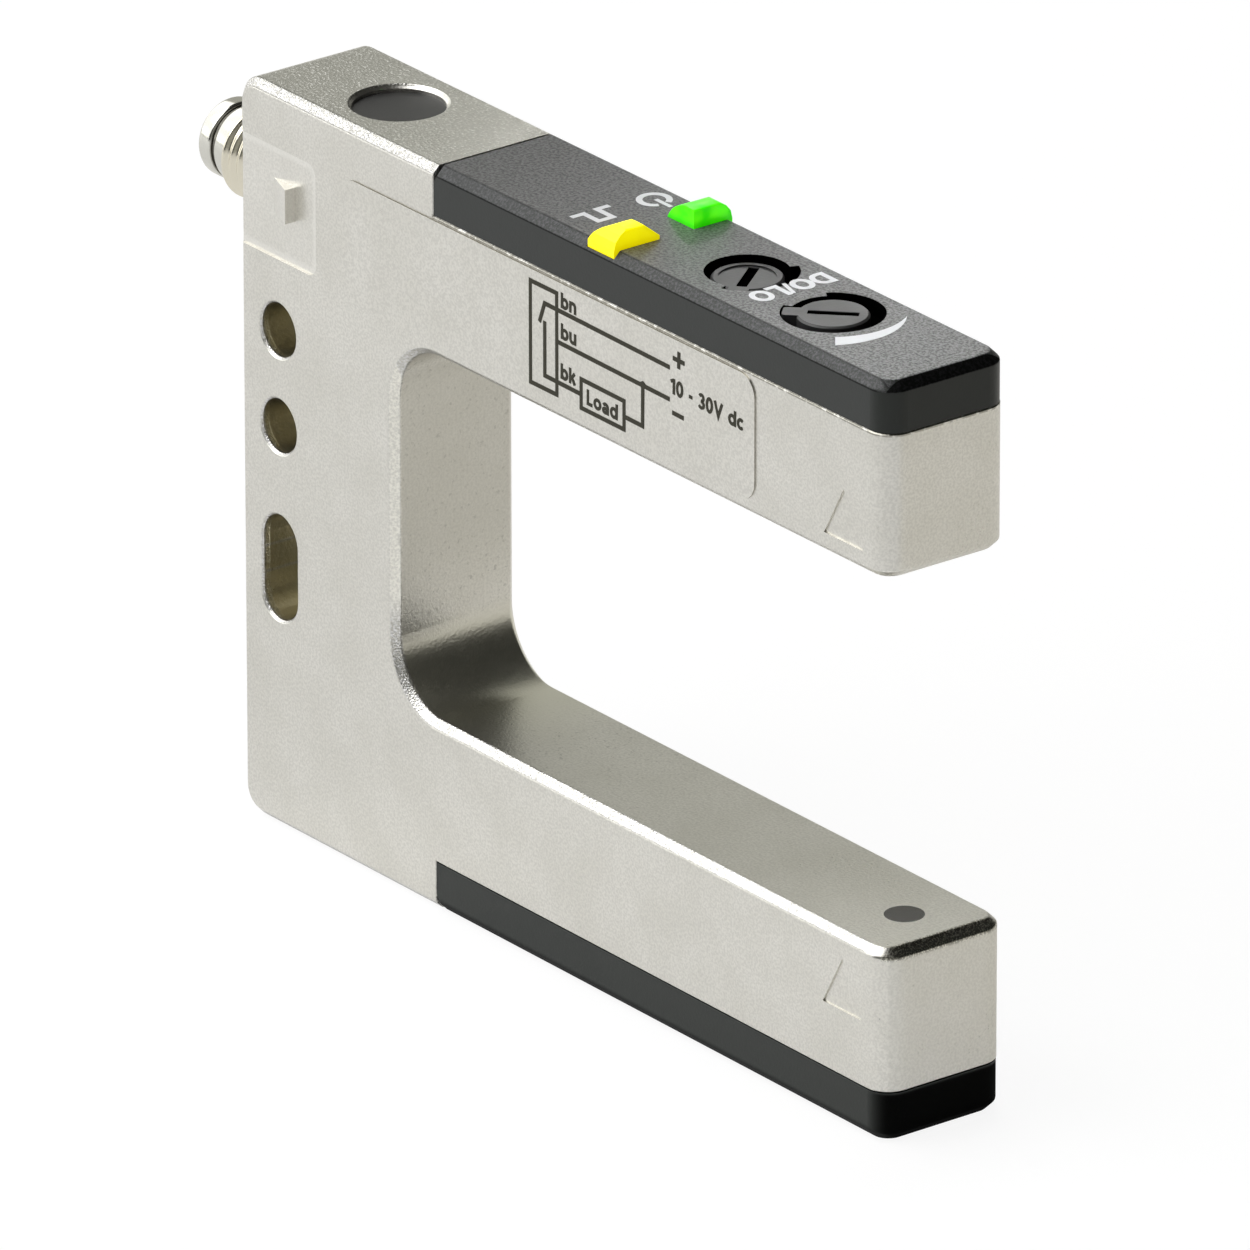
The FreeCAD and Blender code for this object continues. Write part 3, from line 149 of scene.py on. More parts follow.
# %% A socket that understands arithmetic
class Wave:
    """A socket of a node tree with the usual operators, each one a Math node."""

    def __init__(self, tree, socket):
        self.tree = tree
        self.socket = socket

    def math(self, operation, *others):
        return self.tree.math(operation, self, *others)

    def __add__(self, other):
        return self.math("ADD", other)

    def __sub__(self, other):
        return self.math("SUBTRACT", other)

    def __rsub__(self, other):
        return self.tree.math("SUBTRACT", other, self)

    def __mul__(self, other):
        return self.math("MULTIPLY", other)

    def __pow__(self, other):
        return self.math("POWER", other)

    def __or__(self, other):
        return self.math("MAXIMUM", other)

    def __abs__(self):
        return self.math("ABSOLUTE")

    def ramp(self, start, end, first, last):
        """The first value below start, the last one above end, and a smooth way between."""
        node = self.tree.node("ShaderNodeMapRange", {"interpolation_type": "SMOOTHSTEP"}, {
            "Value": self, "From Min": start, "From Max": end, "To Min": first, "To Max": last})
        return node["Result"]

    def step(self, start, end):
        """A mask that rises from 0 at start to 1 at end."""
        return self.ramp(start, end, 0.0, 1.0)

    def fall(self, start, end):
        """A mask that falls from 1 at start to 0 at end."""
        return self.ramp(start, end, 1.0, 0.0)

    def span(self, a, b, c, d):
        """A mask that rises from a to b, stays at 1 and falls from c to d."""
        return self.step(a, b) * self.fall(c, d)

    __radd__ = __add__
    __rmul__ = __mul__


print("a wave understands + - * ** | and abs")

# %% A node tree built one node at a time
class Tree:
    """A node tree whose nodes are given links or plain values as inputs."""

    def __init__(self, tree):
        self.nodes = tree.nodes
        self.links = tree.links

    def node(self, kind, settings=None, inputs=None):
        """Adds a node and returns its outputs by name. Inputs go by name or number."""
        node = self.nodes.new(kind)
        for key, value in (settings or {}).items():
            setattr(node, key, value)
        for key, value in (inputs or {}).items():
            self.feed(node.inputs[key], value)
        return {output.name: Wave(self, output) for output in node.outputs if output.enabled}

    def feed(self, socket, value):
        """Links a wave to a socket, or sets the socket's own value. A colour is opaque."""
        if isinstance(value, Wave):
            self.links.new(value.socket, socket)
        elif socket.type == "RGBA":
            socket.default_value = (*value, 1.0)
        else:
            socket.default_value = value

    def math(self, operation, *values):
        node = self.node("ShaderNodeMath", {"operation": operation}, dict(enumerate(values)))
        return node["Value"]

    def colour(self, share, first, second):
        """The first colour where share is 0, the second where it is 1."""
        node = self.node("ShaderNodeMix", {"data_type": "RGBA"}, {0: share, 6: first, 7: second})
        return node["Result"]


print("a tree makes:", [name for name in vars(Tree) if not name.startswith("_")])

# %% A material under construction
class Finish(Tree):
    """A material with a Principled shader and the nodes that feed it. Its x, y and z are
    drawing millimetres, from the object's own coordinates."""

    def __init__(self, name):
        self.material = bpy.data.materials.new(name)
        self.material.use_nodes = True
        super().__init__(self.material.node_tree)
        self.shader = self.nodes["Principled BSDF"]
        self.place = self.node("ShaderNodeTexCoord")["Object"]
        drawn = self.node("ShaderNodeVectorMath", {"operation": "MULTIPLY_ADD"}, {
            0: self.place, 1: (1 / MM, 1 / MM, 1 / MM), 2: (HOLE_X, 0.0, HOLE_Z)})["Vector"]
        axes = self.node("ShaderNodeSeparateXYZ", {}, {"Vector": drawn})
        self.x, self.y, self.z = axes["X"], axes["Y"], axes["Z"]

    def noise(self, size, detail=2.0, rough=0.5):
        """Fractal noise from about 0 to 1 whose features are size millimetres across."""
        return self.node("ShaderNodeTexNoise", {}, {
            "Vector": self.place, "Scale": 1.0 / (size * MM), "Detail": detail,
            "Roughness": rough})["Fac"]

    def bump(self, height, distance, strength=1.0, base=None):
        """A normal from a height between 0 and 1 that stands for distance millimetres."""
        inputs = {"Height": height, "Distance": distance * MM, "Strength": strength}
        if base is not None:
            inputs["Normal"] = base
        return self.node("ShaderNodeBump", {}, inputs)["Normal"]

    def set(self, **inputs):
        """Sets the Principled shader's inputs, named with underscores for spaces."""
        for key, value in inputs.items():
            self.feed(self.shader.inputs[key.replace("_", " ")], value)
        return self.material

    def overlay(self, share, shader):
        """Lays another shader over the Principled one, as much as share says."""
        mix = self.node("ShaderNodeMixShader", {}, {
            0: share, 1: Wave(self, self.shader.outputs["BSDF"]), 2: shader})
        self.feed(self.nodes["Material Output"].inputs["Surface"], mix["Shader"])

    def shade(self, share):
        """Lays a black over it that gives no light back, for what lies in deep shadow."""
        black = self.node("ShaderNodeBsdfDiffuse", {}, {"Color": (0.001, 0.001, 0.001)})
        self.overlay(share, black["BSDF"])


print("a finish also makes:", [name for name in vars(Finish) if not name.startswith("_")])

# %% Greys and round masks
def grey(value, warm=0.0):
    """A linear grey with a little more red and less blue as warm rises."""
    return (value * (1 + warm * 0.5), value, value * (1 - warm))


def times(colour, factor):
    """A colour made lighter or darker."""
    return tuple(factor * c for c in colour)


def near(across, along, reach):
    """A mask within reach millimetres of an axis, from the two offsets to it. The
    distance is the root of the sum of their squares."""
    away = (across ** 2.0 + along ** 2.0) ** 0.5
    return away.fall(reach, reach + 0.1)


print("a warm grey:", grey(0.5, 0.1))

# %% [markdown]
# ## The casting
#
# The body is a die-cast part with a fine-blasted, nickel-like finish. It is metal all
# over, so what it shows is mostly a blurred reflection of the studio, and its own tone
# only tints that. An image could be wrapped round it, but noise in the object's own
# coordinates has no seams and the same scale on every face, so noises make the finish:
# the grain of the blasting, coarser pits, wide clouds that vary tone and gloss a little,
# and the finest grain of all along the edges.
#
# Some places look different from the rest. The chamfer along the marked side is rougher
# and greyer, but lighter and less grainy at the root of the fork. The faces beside the top
# cover have larger facets in their relief, a painted darker tone and painted glints: bright
# specks that are a little less metallic, so that they show at any angle. The chamfer on the
# lower arm's tip has a painted shade with painted glints. The pits lie inside the fork,
# most at its root. Each of these places is a mask in drawing millimetres.

# %% Places that casting and film have in common
MARK_X, MARK_LOW, MARK_HIGH = LENGTH - 7.4, GAP_LOW - 4.2, GAP_HIGH + 3.85


def beside_cover(f):
    """The metal's top faces, which lie 0.1 mm below the covers'."""
    return f.z.step(HEIGHT - 0.25, HEIGHT - 0.15)


def near_chamfer(f):
    """The chamfer along the marked side, but for the tips, the pad's rim and the floors
    of the two beam marks, which lie at the same depth."""
    pad = f.x.fall(PAD_X, PAD_X + 0.3)
    pad = pad * f.z.span(PAD_LOW - 0.4, PAD_LOW - 0.1, PAD_HIGH, PAD_HIGH + 0.3)
    off_mark = abs(f.z - MARK_HIGH).math("MINIMUM", abs(f.z - MARK_LOW))
    mark = f.x.step(MARK_X - 0.4, MARK_X - 0.1) * off_mark.fall(2.3, 2.5)
    chamfer = f.y.span(NEAR_SIDE + 0.02, NEAR_SIDE + 0.10, NEAR_SIDE + 0.60, NEAR_SIDE + 0.80)
    return chamfer * f.x.fall(TIP_X - 0.6, TIP_X) * (1.0 - pad) * (1.0 - mark)


def root_height(f):
    """Where the fork's root is upright, between its two rounded corners."""
    across = f.x.span(ROOT_X - 1.7, ROOT_X - 1.2, ROOT_X + 0.2, ROOT_X + 0.5)
    return across * f.z.span(GAP_LOW + 5.35, GAP_LOW + 8.85, GAP_HIGH - 0.65, GAP_HIGH + 1.35)


def low_tip_chamfer(f):
    """The chamfer on top of the lower arm's tip."""
    tip = f.x.step(LENGTH - 1.0, LENGTH - 0.7)
    return tip * f.z.span(GAP_LOW - 1.05, GAP_LOW - 0.75, GAP_LOW + 0.35, GAP_LOW + 0.65)


def fork_inside(f):
    """Behind the marked side's chamfer, and less towards the tips."""
    behind = f.y.step(NEAR_SIDE + 0.3, NEAR_SIDE + 0.9)
    return behind * (1.0 - f.x.step(25.0, 55.0) * 0.75)


print("beam marks at heights", round(MARK_LOW, 2), "and", round(MARK_HIGH, 2))

# %% Blasted metal
GRAIN, PITS, CLOUDS, EDGE_GRAIN = 0.21, 0.40, 6.0, 0.14


def blasted(f, light, dark, depth):
    """Sets gloss, metal and relief, and returns the tone, to which casting and film add
    their own places. Light and dark are the clouds' two tones, and depth is the height
    of the grain in millimetres."""
    grain = f.noise(GRAIN, 2.0, 0.5)
    pits = f.noise(PITS, 2.0, 0.6)
    clouds = f.noise(CLOUDS, 3.0, 0.6)
    edge_grain = f.noise(EDGE_GRAIN, 1.0, 0.5)
    tops = beside_cover(f)
    chamfer = near_chamfer(f)
    root_chamfer = chamfer * root_height(f)
    rough_edge = chamfer * (1.0 - root_chamfer * 0.9)
    painted_glints = grain.step(0.58, 0.72) * tops

    tone = f.colour(clouds.step(0.3, 0.7), dark, light)
    tone = f.colour(chamfer * 0.7, tone, (0.70, 0.70, 0.715))
    # Lighter and less grainy where the chamfer passes the root of the fork.
    tone = f.colour(root_chamfer, tone, (0.89, 0.875, 0.80))
    specks = (1.0 - grain.step(0.34, 0.66)) * (tops * 0.3 + rough_edge * 0.6 + 0.5)
    tone = f.colour(specks, tone, times(dark, 0.76))
    pitted = pits.step(0.60, 0.72) * fork_inside(f) * (0.5 - tops * 0.3)
    tone = f.colour(pitted, tone, times(dark, 0.45))
    # Painted shade and painted glints: the top faces beside the cover are darker, with light, less
    # metallic specks.
    tone = f.colour(tops * 0.35, tone, (0.50, 0.50, 0.465))
    tone = f.colour(painted_glints * 0.8, tone, (0.93, 0.93, 0.89))
    # Painted shade with painted glints: the lower arm's tip chamfer nearly black, flecked with
    # light grain.
    painted_shade_and_glints = f.colour(edge_grain.step(0.45, 0.65), (0.18, 0.17, 0.14), (0.80, 0.79, 0.70))
    tone = f.colour(low_tip_chamfer(f) * 0.9, tone, painted_shade_and_glints)

    relief = grain * 0.5 + (grain + grain.step(0.56, 0.68) * 0.25) * tops
    top_edge = f.z.step(HEIGHT - 9.9, HEIGHT - 4.9)
    relief = relief + edge_grain * rough_edge * (top_edge * 2.2 + 2.2)
    f.set(Metallic=1.0 - painted_glints * 0.15, Roughness=clouds * 0.08 + grain * 0.10 + 0.215,
          Normal=f.bump(pits, depth, 0.35, f.bump(relief, depth, 0.8)))
    return tone


print("noises of blasted metal in mm:", GRAIN, PITS, CLOUDS, EDGE_GRAIN)

# %% [markdown]
# ## The casting's own places
#
# The walls of the fixing holes have a painted shade, darker and browner. The upright face
# at the root of the fork and the tip face of the lower arm have a painted shade too, and
# the rounded corner below the root a painted warm reflection. The shallow pad at the rear
# is a little lighter, with a painted highlight along its rim. Along the seat of the top
# cover a broken line of shade shows where the two pieces meet. The order of the layers
# matters: what is laid on last hides what lies below it.

# %% Inside the holes
SLOT_Z, HALF_RUN = 21.85, 2.15
HOLE_HEIGHTS = (HOLE_Z - 7.95, SLOT_Z + HALF_RUN, SLOT_Z, SLOT_Z - HALF_RUN)
HOLE_REACH = 2.35


def hole_wall_shade(f):
    """Inside the two round holes and the slot, which the last three circles cover."""
    holes = near(f.x - HOLE_X, f.z - HOLE_Z, HOLE_REACH)
    for height in HOLE_HEIGHTS:
        holes = holes | near(f.x - HOLE_X, f.z - height, HOLE_REACH)
    return holes * abs(f.y).fall(5.45, 5.60)


print("circles that cover holes and slot:", 1 + len(HOLE_HEIGHTS))

# %% The shallow pad
PAD_ROUND = 1.0
PAD_MIDDLE = (PAD_LOW + PAD_HIGH) / 2
PAD_HALF = (PAD_HIGH - PAD_LOW) / 2


def pad_depth(f):
    """How far inside the shallow pad's border a point lies: the distance to a rounded
    rectangle, which is the usual one to a sharp rectangle shrunk by the corner radius."""
    radius = PAD_ROUND
    out_x = abs(f.x) - (PAD_X - radius)
    out_z = abs(f.z - PAD_MIDDLE) - (PAD_HALF - radius)
    corner = ((out_x | 0.0) ** 2.0 + (out_z | 0.0) ** 2.0) ** 0.5
    return radius - (corner + (out_x | out_z).math("MINIMUM", 0.0))


def pad_tone_and_highlight(f):
    """A painted highlight full along the pad's rim, and a weaker lighter tone on its floor."""
    depth = pad_depth(f)
    floor = depth.step(0.0, 0.1) * f.y.fall(-5.8, -5.6)
    return floor * 0.3 + floor * depth.fall(0.4, 0.8) * 0.7


print("middle of the pad at height", round(PAD_MIDDLE, 2))

# %% Seat of the cover, root of the fork
def seat_shade(f):
    """A thin line on the height of the cover's seat, broken by noise."""
    line = abs(f.z - SEAT_Z).fall(0.14, 0.22) * f.x.step(24.5, 25.0)
    return line * f.noise(0.5, 1.0, 0.5).fall(0.50, 0.66)


def root_painted_shade_and_reflection(f):
    """The upright face at the fork's root, where shade is painted, and the rounded corner below it,
    where a warm reflection is painted.
    """
    root = f.x.step(ROOT_X - 0.4, ROOT_X - 0.2) * f.y.step(NEAR_SIDE + 0.7, NEAR_SIDE + 0.9)
    face = root * f.x.fall(ROOT_X + 0.3, ROOT_X + 0.8)
    face = face * f.z.span(GAP_LOW + 5.85, GAP_LOW + 13.85, GAP_HIGH - 0.65, GAP_HIGH - 0.15)
    bend_painted_reflection = root * f.x.fall(ROOT_X + 4.3, ROOT_X + 15.3)
    bend_painted_reflection = bend_painted_reflection * f.z.span(GAP_LOW - 0.35, GAP_LOW - 0.15, GAP_LOW + 3.35, GAP_LOW + 6.35)
    return face, bend_painted_reflection


print("seat of the cover at height", round(SEAT_Z, 2))

# %% The casting's finish
def casting_finish():
    f = Finish("casting")
    tone = blasted(f, (0.78, 0.765, 0.715), (0.72, 0.705, 0.65), 0.04)
    # A lighter pad floor, with a painted highlight along its rim.
    tone = f.colour(pad_tone_and_highlight(f), tone, (0.90, 0.885, 0.84))
    tone = f.colour(seat_shade(f) * 0.75, tone, (0.25, 0.24, 0.20))
    # Painted shade: the walls of the fixing holes darker and browner.
    tone = f.colour(hole_wall_shade(f), tone, (0.71, 0.67, 0.53))
    # Painted shade on the upright face at the root, and a painted warm reflection on the rounded
    # corner below it.
    face, bend_painted_reflection = root_painted_shade_and_reflection(f)
    # Painted shade: the tip face of the lower arm a little darker.
    low_tip_painted_shade = f.x.step(LENGTH - 0.5, LENGTH - 0.3) * f.z.fall(GAP_LOW + 5.85, GAP_LOW + 10.85)
    tone = f.colour(face * 0.40 + low_tip_painted_shade * 0.22, tone, (0.46, 0.45, 0.40))
    return f.set(Base_Color=f.colour(bend_painted_reflection, tone, (0.76, 0.745, 0.645)))


casting = casting_finish()
print(casting.name, "has", len(casting.node_tree.nodes), "nodes")

# %% [markdown]
# ## The marking film
#
# The film on the marked side is printed metal foil with the casting's own grain. What
# gives it away is the dark line where it was cut, which is fainter at its front end. So
# its finish is the blasted one, darkened behind its face, where only the cut shows.

# %% Marking film
def film_finish():
    """Blasted metal, with the cut edge as all that lies behind the film's face."""
    f = Finish("marking_foil")
    tone = blasted(f, (0.77, 0.755, 0.705), (0.72, 0.705, 0.65), 0.03)
    cut = f.y.step(NEAR_SIDE - 0.11, NEAR_SIDE - 0.10) * (1.0 - f.x.step(63.0, 64.4) * 0.65)
    return f.set(Base_Color=f.colour(cut, tone, (0.12, 0.11, 0.085)))


film = film_finish()
print(film.name, "has", len(film.node_tree.nodes), "nodes")

# %% [markdown]
# ## The plastic covers
#
# The covers are black moulded plastic. Their flat top has an eroded grain, whose tiny
# bumps catch the light and turn the black to grey, most of all near the tips, while the
# side walls are smooth. So the top has a real bump and a painted sheen, a lighter tone
# that grows towards the tips, and both fade below its chamfer. The side walls of the
# top cover are painted lighter than those of the lower cover and the tips.
#
# Some places are nearly black in the photograph: the wells round the adjusters, the
# line where the chamfer begins, and the faces that look away from the light. A studio
# this plain would leave them grey, so a black that gives no light back lies over them.

# %% Dark places on the covers
def wells(f):
    """The round wells of both adjusters, below the cover's flat face."""
    return near(f.x - MODE_X, f.y, 4.1) | near(f.x - GAIN_X, f.y, 4.1)


def chamfer_lines(f, rim, grain):
    """The two edges of the top chamfer: one by height and one, grainy, by depth."""
    lower = abs(f.z - (HEIGHT - 0.80)).fall(0.03, 0.09)
    lower = lower * f.y.fall(NEAR_SIDE + 0.1, NEAR_SIDE + 0.3)
    upper = abs(f.y - (NEAR_SIDE + 0.78)).fall(0.03, 0.10)
    return lower | upper * rim * grain.step(0.35, 0.55)


def away_from_light(f):
    """The lower cover's tip and the foot of its walls."""
    tip = f.x.step(LENGTH - 2.2, LENGTH - 0.4) * 0.93
    return f.z.fall(3.8, 4.1) * (tip | f.z.fall(0.6, 1.2) * 0.75)


print("adjusters at x mm", round(MODE_X, 2), "and", round(GAIN_X, 2))

# %% Black plastic with an eroded top
def cover_finish():
    f = Finish("cover_plastic")
    grain = f.noise(0.24, 2.0, 0.6)
    clouds = f.noise(6.0, 2.0, 0.5)
    face = f.z.step(HEIGHT - 0.06, HEIGHT - 0.02)
    rim = f.z.step(HEIGHT - 0.85, HEIGHT - 0.75)
    # Painted light: the side walls of the top cover lighter than those of the lower cover and the
    # tips.
    upper = f.z.step(GAP_HIGH - 4.15, GAP_HIGH + 0.85) * f.x.fall(LENGTH - 2.9, LENGTH - 0.9)
    wall = f.colour(upper, (0.007, 0.0105, 0.0075), (0.015, 0.018, 0.016))
    tone = f.colour(rim * grain.step(0.40, 0.72), wall, (0.062, 0.062, 0.067))
    # Painted sheen: the flat top far lighter than the walls, and lighter towards the tips.
    painted_top_sheen = f.colour(f.x.step(50.0, 75.0), grey(0.150), grey(0.235))
    tone = f.colour(face * (grain.step(0.34, 0.66) * 0.9 + 0.2), tone, painted_top_sheen)
    tip = f.x.step(LENGTH - 0.72, LENGTH - 0.66) * rim
    dark = tip * 0.85 | wells(f) * (1.0 - face) | chamfer_lines(f, rim, grain) * 0.6
    f.shade(dark | away_from_light(f))
    return f.set(Base_Color=tone, Roughness=clouds * 0.06 + rim * 0.06 + 0.34,
                 Specular_IOR_Level=0.42,
                 Normal=f.bump(grain * (rim * 0.85 + 0.15), 0.07, 0.8))


covers = cover_finish()
print(covers.name, "has", len(covers.node_tree.nodes), "nodes")

# %% [markdown]
# ## Adjusters, plug and inner mouldings
#
# The adjusters are smooth black discs. Their screwdriver slots are so narrow that they
# stay dark, which the same black layer gives them. The bore plug and the mouldings
# inside are plain smooth plastic, so one function serves them all.

# %% Smooth plastics
def smooth_plastic(name, value, rough=0.42):
    """Moulded plastic with a slight grain and a little variation in tone."""
    f = Finish(name)
    grain = f.noise(0.4)
    clouds = f.noise(3.0)
    tone = f.colour(clouds, grey(value * 0.8), grey(value * 1.25))
    return f.set(Base_Color=tone, Roughness=clouds * 0.1 + rough,
                 Normal=f.bump(grain, 0.02, 0.35))


def knob_finish(name, value, x, bottom):
    """An adjuster disc at x, with no light left in its slot below the height bottom."""
    f = Finish(name)
    grain = f.noise(0.3)
    clouds = f.noise(1.5)
    tone = f.colour(clouds, grey(value * 0.8), grey(value * 1.25))
    f.shade(near(f.x - x, f.y, 2.1) * f.z.fall(bottom - 0.04, bottom))
    return f.set(Base_Color=tone, Roughness=clouds * 0.1 + 0.40,
                 Normal=f.bump(grain, 0.02, 0.4))


selector = knob_finish("selector_plastic", 0.030, MODE_X, HEIGHT - 0.56)
adjuster = knob_finish("adjuster_plastic", 0.036, GAIN_X, HEIGHT - 0.09)
inner = smooth_plastic("inner_plastic", 0.020)
plug_grey = smooth_plastic("plug_grey", 0.020, rough=0.35)
insert = smooth_plastic("insert_plastic", 0.020)
print("made", [m.name for m in (selector, adjuster, inner, plug_grey, insert)])

# %% [markdown]
# ## Light pipes
#
# The two indicators are clear, tinted mouldings with a light source under them. A lit
# pipe glows from inside: bright in its body, with the tint deepest at its foot. Glass
# with a lamp inside could show that, but it takes many light bounces and is lost when
# materials are baked. A strong colour with a little light of its own and a glossy skin
# looks lit from every side.

# %% Lit, tinted plastic
def pipe_finish(name, deep, dark, bright, glow):
    """Clouds between a dark and a bright tint, with a deeper one at the pipe's foot."""
    f = Finish(name)
    clouds = f.noise(1.6)
    tone = f.colour(clouds.step(0.3, 0.7), dark, bright)
    foot = f.z.fall(HEIGHT + 0.05, HEIGHT + 0.70)
    tone = f.colour(foot * 0.7, tone, deep)
    return f.set(Base_Color=tone, Roughness=clouds * 0.1 + 0.34, Emission_Color=tone,
                 Emission_Strength=glow, Specular_IOR_Level=0.35)


yellow = pipe_finish("yellow_pipe", (0.70, 0.56, 0.0), (0.86, 0.77, 0.0), (0.95, 0.86, 0.0), 0.80)
green = pipe_finish("green_pipe", (0.01, 0.40, 0.0), (0.02, 0.62, 0.0), (0.09, 0.90, 0.005), 0.90)
print("made", yellow.name, green.name)

# %% [markdown]
# ## Bright metals and glass
#
# The connector is bright nickel, smooth enough to mirror the studio as light and dark
# bands. Its thread is a little duller and more golden, and the snap groove has a painted
# shade as a dark line. The contact pins are gold. The lens windows are a dark filter glass,
# through which only the beam's infrared light passes, so to the eye they are nearly black.

# %% Nickel, gold and filter glass
def connector_finish():
    """Bright nickel with painted shade in the snap groove and a warmer, duller thread."""
    f = Finish("nickel")
    stain = f.noise(1.2, 3.0, 0.6)
    thread = f.x.step(-5.35, -5.15)
    groove_shade = abs(f.x + 7.1).fall(0.20, 0.32)
    tone = f.colour(stain, (0.62, 0.61, 0.55), (0.72, 0.71, 0.66))
    tone = f.colour(thread, tone, (0.74, 0.70, 0.58))
    # Painted shade: a dark line in the snap groove.
    tone = f.colour(groove_shade * 0.85, tone, (0.06, 0.055, 0.04))
    return f.set(Base_Color=tone, Metallic=1.0, Roughness=stain * 0.08 + thread * 0.05 + 0.12,
                 Normal=f.bump(stain, 0.004, 0.3))


def gold_finish():
    f = Finish("gold")
    stain = f.noise(1.2, 3.0, 0.6)
    tone = f.colour(stain, (0.765, 0.558, 0.243), (0.85, 0.62, 0.27))
    return f.set(Base_Color=tone, Metallic=1.0, Roughness=stain * 0.08 + 0.2,
                 Normal=f.bump(stain, 0.004, 0.3))


def glass_finish():
    """Nearly black, with soft clouds and a smooth face."""
    f = Finish("window_glass")
    clouds = f.noise(1.2)
    tone = f.colour(clouds, grey(0.012, 0.3), grey(0.018, 0.3))
    return f.set(Base_Color=tone, Roughness=clouds * 0.05 + 0.18, Specular_IOR_Level=0.5)


nickel, gold, glass = connector_finish(), gold_finish(), glass_finish()
print("made", nickel.name, gold.name, glass.name)

# %% [markdown]
# ## What hides inside
#
# Boards, chips, seals and wires show only when the sensor is taken apart. Their finishes
# are quick, but each has its own tone and grain. The green solder mask lies over copper
# tracks that run along and across the board, which is how a Voronoi pattern looks when
# distance is measured in city blocks.

# %% Boards, rubber, resin and wire
def board_finish():
    """Two greens, parted where the distance to the nearest cell's middle passes a third."""
    f = Finish("circuit_board")
    tracks = f.node("ShaderNodeTexVoronoi", {"distance": "MANHATTAN"},
                    {"Vector": f.place, "Scale": 900.0})["Distance"]
    tone = f.colour(tracks.step(0.30, 0.36), (0.02, 0.16, 0.06), (0.03, 0.25, 0.09))
    return f.set(Base_Color=tone, Roughness=tracks * 0.1 + 0.3)


def tinted(name, first, second, rough, shine=0.5):
    """A plain finish that drifts between two near colours."""
    f = Finish(name)
    clouds = f.noise(1.5)
    return f.set(Base_Color=f.colour(clouds, first, second), Roughness=clouds * 0.1 + rough,
                 Specular_IOR_Level=shine, Normal=f.bump(clouds, 0.02, 0.3))


SLOT_FINISH = {
    "casting": casting, "marking_foil": film, "cover_plastic": covers,
    "selector_plastic": selector, "adjuster_plastic": adjuster, "inner_plastic": inner,
    "plug_grey": plug_grey, "insert_plastic": insert, "yellow_pipe": yellow,
    "green_pipe": green, "nickel": nickel, "gold": gold, "window_glass": glass,
    "circuit_board": board_finish(),
    "rubber_seal": tinted("rubber_seal", grey(0.012), grey(0.022), 0.6),
    "led_white": tinted("led_white", grey(0.6, 0.1), grey(0.75, 0.15), 0.3),
    "chip": tinted("chip", grey(0.012), grey(0.02), 0.5),
    "small_parts": tinted("small_parts", (0.16, 0.11, 0.07), (0.45, 0.42, 0.38), 0.4),
    "diode_resin": tinted("diode_resin", (0.10, 0.01, 0.015), (0.16, 0.02, 0.03), 0.15),
    "wire_skin": tinted("wire_skin", (0.12, 0.05, 0.02), (0.03, 0.06, 0.22), 0.35),
    "ribbon_film": tinted("ribbon_film", (0.45, 0.22, 0.03), (0.55, 0.28, 0.05), 0.25),
}
print("finishes:", len(SLOT_FINISH))

# %% Each CAD node gets the finish of its slot
for part in frame["record"]["subparts"]:
    node = frame["nodes"][part["node"]]
    node.data.materials.clear()
    node.data.materials.append(SLOT_FINISH[part["material_slot"]])

# %% [markdown]
# ## The connector's thread
#
# On the real part the barrel is turned from bar and a thread of 1 mm pitch is cut into
# its outer half. As a surface it is a profile turned round the connector's axis. The
# thread is one more term in the radius: a wave that moves one pitch along the axis in
# one turn, which is what makes it a helix instead of a row of rings. A Screw modifier
# could wind it too, but a formula lets the thread fade out at both its ends.

# %% Sizes of the barrel
PLUG_Z = HEIGHT - 9.6
SHELL_R = 3.9
COLLAR_R = 3.2
SHELL_BORE = 2.7
SHANK_R = 3.6
COLLAR_FACE = -8.95
THREAD_FACE = -5.25
SHANK_END = 7.4
SNAP_X = -7.1
PITCH = 1.0
THREAD_DEEP = 0.3
TURN = 128
print("barrel, mm:", 2 * SHELL_R, "over the thread,", SHANK_END - COLLAR_FACE, "long")

# %% The barrel's profile
def turned_profile():
    """Stations (x, r) round the barrel's section, from the bore's far end over the front
    to the shank's far end. Arcs are quarter circles of the given radius."""
    arc = np.linspace(0, math.pi / 2, 7)
    s, c = np.sin(arc), np.cos(arc)
    lip = np.stack([COLLAR_FACE + 0.15 - 0.15 * s, SHELL_BORE + 0.15 - 0.15 * c], 1)
    nose = np.stack([COLLAR_FACE + 0.45 - 0.45 * c, COLLAR_R - 0.45 + 0.45 * s], 1)
    fall = np.stack([SNAP_X - 0.55 + 0.35 * s, COLLAR_R - 0.25 + 0.25 * c], 1)
    rise = np.stack([SNAP_X + 0.55 - 0.35 * c, COLLAR_R - 0.25 + 0.25 * s], 1)
    snap = np.concatenate([fall, rise])
    step = np.stack([THREAD_FACE - 0.4 + 0.4 * s, COLLAR_R - 0.3 + 0.3 * c], 1)
    start = np.stack([np.linspace(THREAD_FACE, THREAD_FACE + 0.35, 6),
                      np.linspace(SHELL_R - 0.35, SHELL_R, 6)], 1)
    run = np.arange(THREAD_FACE + 0.4, -0.02, PITCH / 16)
    thread = np.stack([run, np.full(len(run), SHELL_R)], 1)
    root = np.array([(-0.01, SHELL_R - 0.02), (0.0, SHANK_R), (SHANK_END, SHANK_R),
                     (SHANK_END, SHELL_BORE)])
    bore = np.array([(SHANK_END - 0.01, SHELL_BORE), (COLLAR_FACE + 0.2, SHELL_BORE)])
    return np.concatenate([bore, lip, nose, snap, step, start, thread, root])


print("stations along the profile:", len(turned_profile()))

